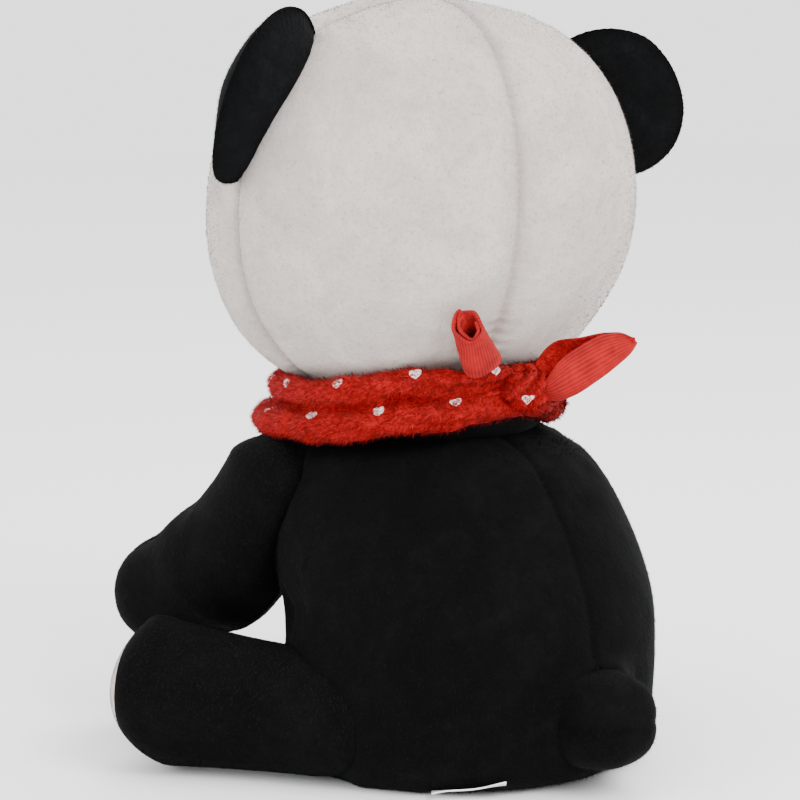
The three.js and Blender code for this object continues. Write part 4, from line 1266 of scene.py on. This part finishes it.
def open_end():
    """The other end, folded loosely along its middle like a leaf: brushed side inside the fold,
    ribbed reverse below."""
    root = KNOT + np.array((-0.0030, 0.0010, 0.0000))
    tip = KNOT + np.array((-0.0247, 0.0317, 0.0177))
    line = Line(root, (root + tip) / 2 + np.array((0.000, 0.000, 0.0004)), tip)
    steps, across = 60, 44
    knots = np.array((0, 0.15, 0.30, 0.55, 0.80, 0.93, 1.0))
    upper = np.array((0.0035, 0.0090, 0.0118, 0.0096, 0.0070, 0.0042, 0.0008))
    lower = np.array((0.0040, 0.0082, 0.0090, 0.0076, 0.0050, 0.0028, 0.0006))
    front = np.array((0.0000, 0.0000, 0.0035, 0.0062, 0.0064, 0.0040, 0.0007))
    rows = []
    for i in range(steps):
        t = i / (steps - 1)
        centre = line.at(np.array([[t]]))[0]
        way = line.way(np.array([[t]]))[0]
        near = FROM_BEHIND - way * (FROM_BEHIND @ way)
        near /= np.linalg.norm(near)
        up = np.cross(near, way)
        up *= 1 if up[2] > 0 else -1
        high, low, fold = [float(smoothed(t, knots, q)) for q in (upper, lower, front)]
        deep = 0.0030 * (high + low) / 0.020
        # From the edge of the front flap, down round the fold and up the back flap.
        section = [
            (deep * 1.25, fold),
            (deep * 1.35, fold * 0.45 - low * 0.25),
            (deep * 0.90, -low * 0.75),
            (0, -low),
            (-deep * 0.85, -low * 0.70),
            (-deep * 1.20, 0),
            (-deep * 1.00, high * 0.55),
            (-deep * 0.35, high),
        ]
        shares = np.linspace(0, 1, len(section))
        row = []
        for k in range(across):
            v = k / (across - 1)
            n, h = [float(smoothed(v, shares, np.array(q))) for q in zip(*section)]
            curl = 0.0006 * math.sin(6 * t + 9 * v)
            curl += 0.0006 * noise.noise(Vector((t * 6, v * 5, 8.1)))
            row.append(centre + near * (n + curl) + up * h)
        rows.append(row)
    leaf_flat = (sheet_lengths(rows)[1], sheet_lengths(rows)[0])
    obj = grid("scarf_open_end_sheet", np.array(rows))
    lay_flat(obj, steps, across, leaf_flat)
    # The ribbed reverse is outside the fold, where the front flap shows it.
    front_flap = np.arange(len(obj.data.vertices)) % across < across // 4
    if (normals(obj)[front_flap] @ FROM_BEHIND).sum() < 0:
        obj.data.flip_normals()
    unfolded = obj.copy()
    unfolded.data = obj.data.copy()
    coat(obj, RIBBED, FLEECE)
    thicken(obj, 0.0014, 1)
    rounded(obj, 1)
    return obj, leaf_flat, unfolded


scarf_leaf, leaf_flat, LEAF_CLOTH = open_end()


def drape():
    """The scarf's front corner, hanging on the chest."""
    low, high = [np.array(c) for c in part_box("scarf_drape")]
    surfaces = [tree(torso), tree(belly)]
    top = SCARF_MIDDLE[2] - 0.006
    point = low[2] - 0.002
    steps, across = 44, 49
    rows = []
    for i in range(steps):
        t = i / (steps - 1)
        z = top + (point - top) * t
        half = 0.040 * (1 - t) ** 0.9 + 0.0012
        row = []
        for k in range(across):
            v = 2 * k / (across - 1) - 1
            x = v * half
            front = -0.02
            for surface in surfaces:
                hit = surface.ray_cast(Vector((x, -0.25, z)), Vector((0, 1, 0)))[0]
                front = min(front, hit.y) if hit is not None else front
            wave = 0.0016 * math.cos(9 * v + 1) * (1 - t)
            wave += 0.0012 * noise.noise(Vector((v * 2, t * 3, 4)))
            hang = SCARF_MIDDLE[1] - math.sqrt(max((RING + 0.004) ** 2 - x * x, 0))
            lie = front - 0.0034
            mix = float(smooth(t / 0.5))
            y = min(hang * (1 - mix) + lie * mix, lie) - wave - 0.0010
            row.append((x, y, z + 0.004 * v * v * (1 - t)))
        rows.append(row)
    obj = grid("scarf_drape_sheet", np.array(rows))
    for loop in obj.data.loops:
        i, k = divmod(loop.vertex_index, across)
        x = obj.data.vertices[loop.vertex_index].co.x
        obj.data.uv_layers["cloth"].data[loop.index].uv = (x + 0.05, i / steps * (top - point))
    if normals(obj)[:, 1].sum() > 0:
        obj.data.flip_normals()
    coat(obj, FLEECE, RIBBED)
    thicken(obj, 0.0014, 1)
    rounded(obj, 1)
    return obj, sheet_lengths(rows)[0]


scarf_drape, drape_length = drape()

# ==== Neck, base and label ====
neck_piece = ball("neck_cover", 12)
neck_low, neck_high = [np.array(c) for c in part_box("neck_filling")]
set_coords(neck_piece, coords(neck_piece) * (0.040, 0.040, 0.014) + (neck_low + neck_high) / 2)
push(neck_piece, 0.001 * lumps(coords(neck_piece), 0.01, 8))
rounded(neck_piece, 1)
coat(neck_piece, BLACK)


LABEL_OUT = 0.0060


def label():
    """A folded satin ribbon, sewn into the base seam and blank, with its loose end lifting."""
    low, high = [np.array(c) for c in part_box("care_label")]
    middle = (low + high) / 2
    out = np.array((math.sin(math.radians(42)), math.cos(math.radians(42)), 0))
    side = np.array((out[1], -out[0], 0))
    rows = []
    for i in range(30):
        t = i / 29
        row = []
        for k in range(12):
            v = k / 11
            along = (t - 0.5) * 0.026
            away = (v - 0.5) * 0.016 + LABEL_OUT
            z = 0.0010 + 0.0016 * v * v + 0.0004 * math.sin(7 * t + 2 * v) * v + 0.0042 * v * (1 - t)
            row.append(middle * (1, 1, 0) + side * along + out * away + np.array((0, 0, z)))
        rows.append(row)
    obj = grid("care_label_ribbon", np.array(rows))
    if normals(obj)[:, 2].sum() < 0:
        obj.data.flip_normals()
    coat(obj, SATIN)
    thicken(obj, 0.0005)
    return obj


care_label = label()

# ==== The right side ====
arm_right = mirrored(arm, "arm_right_cover")
leg_right = mirrored(leg, "leg_right_cover")
sole_right = mirrored(sole, "leg_right_sole_cover")
bpy.context.view_layer.update()

# ==== Pile coats ====
share = 1.0
many = lambda n: int(n * share)
coats = []


def add_pile(obj, name, *rest, cloth_name=None, **more):
    made = pile(obj, name, *rest, **more)
    coats.append((cloth_name or obj.name, made))
    return made


to_face = HEAD[:3, :3] @ np.array((0, 1.0, -0.6))
head_comb = lambda p: np.tile(to_face, (len(p), 1)) + 0.35 * np.stack(
    [np.sin(p[:, 2] * 70), np.cos(p[:, 0] * 60), np.sin(p[:, 1] * 65)], -1
)
body_comb = lambda p: down(p) + 0.3 * np.stack(
    [np.sin(p[:, 2] * 60 + 1), np.sin(p[:, 0] * 50), np.cos(p[:, 1] * 55)], -1
)
FIBRE, FINE_FIBRE, FLEECE_FIBRE = 0.00030, 0.00028, 0.00032  # widths
BODY = (body_comb, 0.34, 0.32)
LIMB = (body_comb, 0.36, 0.34)
FOOT = (body_comb, 0.38, 0.36)
SIDES = ("left", "right")
add_pile(head, "head_pile", WHITE_PILE, many(90000), 0.0013, FINE_FIBRE, head_comb, 0.28, 0.30)
add_pile(torso, "torso_pile", BLACK_PILE, many(60000), 0.0015, FIBRE, *BODY)
add_pile(belly, "belly_pile", WHITE_PILE, many(14000), 0.0014, FIBRE, *BODY)
for arm_obj, side_name in zip((arm, arm_right), SIDES):
    add_pile(arm_obj, f"arm_{side_name}_pile", BLACK_PILE, many(22000), 0.0015, FIBRE, *LIMB)
for leg_obj, sole_obj, side_name in zip((leg, leg_right), (sole, sole_right), SIDES):
    add_pile(leg_obj, f"leg_{side_name}_pile", BLACK_PILE, many(24000), 0.0016, FIBRE, *FOOT)
    sole_pile = f"leg_{side_name}_sole_pile"
    add_pile(sole_obj, sole_pile, WHITE_PILE, many(7000), 0.0015, FIBRE, body_comb, 0.4, 0.4)
for ear_obj, side_name in zip((ear_left, ear_right), SIDES):
    add_pile(ear_obj, f"ear_{side_name}_pile", BLACK_PILE, many(14000), 0.0014, FINE_FIBRE, *LIMB)
add_pile(tail, "tail_pile", BLACK_PILE, many(9000), 0.0015, FIBRE, *FOOT)
for patch, side_name in zip(patches, SIDES):
    patch_pile = f"eye_patch_{side_name}_pile"
    add_pile(patch, patch_pile, BLACK_PILE, many(2500), 0.0014, FINE_FIBRE, body_comb, 0.4, 0.36)

ring_comb = lambda p: np.cross(p - SCARF_MIDDLE, scarf_up) * 14 + np.array((0, 0, -0.45))
on_band = (RED_PILE, many(46000), 0.0025, 0.00034, ring_comb, 0.34, 0.45)
add_pile(BAND_SKIN, "scarf_band_pile", *on_band, cloth_name="scarf_band")
add_pile(scarf_knot, "scarf_knot_pile", RED_PILE, many(3500), 0.0022, 0.00034, body_comb, 0.4, 0.5)
leaf_comb = lambda p: np.tile(KNOT - np.array((0.02, -0.02, -0.02)), (len(p), 1)) - p
on_leaf = (RED_PILE, many(6000), 0.0016, FIBRE, leaf_comb, 0.3, 0.5)
leaf_name = "scarf_open_end_sheet"
add_pile(LEAF_CLOTH, "scarf_open_end_pile", *on_leaf, back=0.0014, cloth_name=leaf_name)
on_drape = (RED_PILE, many(9000), 0.0020, FLEECE_FIBRE, body_comb, 0.3, 0.45)
add_pile(scarf_drape, "scarf_drape_pile", *on_drape)
bpy.data.objects.remove(BAND_SKIN)
bpy.data.objects.remove(LEAF_CLOTH)

# ==== Riding and standing in ====
TORSO_NODES = ["torso_left_panel", "torso_right_panel", "base_panel", "torso_filling", "pellet_bag"]
HEAD_NODES = [f"{part}_{side}_panel" for part in ("face", "head_back") for side in SIDES]
RIDES = [
    (torso, "torso", "black_plush", TORSO_NODES),
    (belly, "torso", "white_plush", ["belly_panel"]),
    (care_label, "torso", "label_satin", ["care_label"]),
    (neck_piece, "neck", "black_plush", ["neck_filling"]),
    (head, "head", "white_plush", HEAD_NODES + ["head_filling"]),
    (patches[0], "head", "black_plush", ["eye_patch_left"]),
    (patches[1], "head", "black_plush", ["eye_patch_right"]),
    (eyes[0], "head", "black_plastic", ["eye_left", "eye_washer_left"]),
    (eyes[1], "head", "black_plastic", ["eye_right", "eye_washer_right"]),
    (nose, "head", "black_plastic", ["nose", "nose_washer"]),
    (mouth[0], "head", "black_thread", ["mouth_stitching"]),
    (mouth[1], "head", "black_thread", []),
    (scarf_band, "scarf", "red_fleece", ["scarf_lower_fold", "scarf_upper_fold"]),
    (scarf_knot, "scarf", "red_fleece", ["scarf_knot"]),
    (scarf_roll, "scarf", "red_fleece", ["scarf_rolled_end"]),
    (scarf_leaf, "scarf", "red_fleece", ["scarf_open_end"]),
    (scarf_drape, "scarf", "red_fleece", ["scarf_drape"]),
    (sole, "leg_left", "sole_plush", ["leg_left_sole"]),
    (sole_right, "leg_right", "sole_plush", ["leg_right_sole"]),
]
for side_name, ear_obj in (("left", ear_left), ("right", ear_right)):
    panels = [f"ear_{side_name}_{part}" for part in ("back_panel", "front_panel", "filling")]
    RIDES.append((ear_obj, f"ear_{side_name}", "black_plush", panels))
tail_panels = [f"tail_{part}" for part in ("upper_panel", "lower_panel", "filling")]
RIDES.append((tail, "tail", "black_plush", tail_panels))

fibres_of = {}
for cloth, fibres in coats:
    fibres_of.setdefault(cloth, []).append(fibres)

for obj, body, slot_name, nodes_replaced in RIDES:
    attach(obj, body)
    if nodes_replaced:
        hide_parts(*nodes_replaced)

BENDS = []
for side_name, sign, arm_obj, leg_obj in (("left", 1, arm, leg), ("right", -1, arm_right, leg_right)):
    flip = np.array((sign, 1, 1))
    start = shoulder * flip
    end = (shoulder + (HAND - shoulder) * 0.36) * flip
    panels = [f"arm_{side_name}_{part}" for part in ("outer_panel", "inner_panel", "filling")]
    BENDS.append((arm_obj, f"arm_{side_name}", start, end, panels))
    start = (hip + ahead * 0.004) * flip
    end = (hip + ahead * 0.034) * flip
    panels = [f"leg_{side_name}_{part}" for part in ("outer_panel", "inner_panel", "filling")]
    BENDS.append((leg_obj, f"leg_{side_name}", start, end, panels))
for obj, body, start, end, panels in BENDS:
    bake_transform(obj)
    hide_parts(*panels)

bends = {obj.name: (body, start, end) for obj, body, start, end, _ in BENDS}
bodies = {obj.name: body for obj, body, _, _ in RIDES}
for cloth_name, found in fibres_of.items():
    for fibres in found:
        if cloth_name in bends:
            body, start, end = bends[cloth_name]
            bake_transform(fibres)
        else:
            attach(fibres, bodies[cloth_name])

# ==== Room ====
only(torso)
bpy.ops.object.select_all(action="DESELECT")
bpy.ops.mesh.primitive_plane_add(size=6, location=(0, 0, -0.0002))
floor = bpy.context.object
floor.name = "floor"
paper, nodes, shader = material("white_paper_backdrop")
shader.inputs["Base Color"].default_value = linear("fbfbfb")
shader.inputs["Roughness"].default_value = 0.9
floor.data.materials.append(paper)

world = bpy.data.worlds.new("studio")
bpy.context.scene.world = world
world.use_nodes = True
world.node_tree.nodes["Background"].inputs["Color"].default_value = (1, 1, 1, 1)
world.node_tree.nodes["Background"].inputs["Strength"].default_value = 2.1


def lamp(name, place, size, power, target=(0, -0.01, 0.13)):
    data = bpy.data.lights.new(name, "AREA")
    data.shape = "DISK"
    data.size = size
    data.energy = power
    obj = bpy.data.objects.new(name, data)
    bpy.context.collection.objects.link(obj)
    obj.location = place
    obj.rotation_euler = (Vector(target) - Vector(place)).to_track_quat("-Z", "Y").to_euler()
    return obj


lamp("key_softbox", (0.10, 1.35, 1.25), 0.9, 26)
lamp("fill_softbox", (1.6, 0.2, 0.7), 1.1, 10)
lamp("top_softbox", (-0.5, 0.1, 1.7), 1.2, 16)

AZIMUTH, ELEVATION, DISTANCE = math.radians(42), math.radians(15), 1.10
AIM = Vector((-0.0032, -0.0428, 0.1268))
camera_data = bpy.data.cameras.new("camera")
camera = bpy.data.objects.new("camera", camera_data)
bpy.context.collection.objects.link(camera)
toward = Vector(
    (
        math.sin(AZIMUTH) * math.cos(ELEVATION),
        math.cos(AZIMUTH) * math.cos(ELEVATION),
        math.sin(ELEVATION),
    )
)
camera.location = toward * DISTANCE
line_of_sight = camera.location - AIM
camera.rotation_euler = line_of_sight.to_track_quat("Z", "Y").to_euler()
camera_data.sensor_width = 36
camera_data.lens = 36 * line_of_sight.length / 0.300
bpy.context.scene.camera = camera
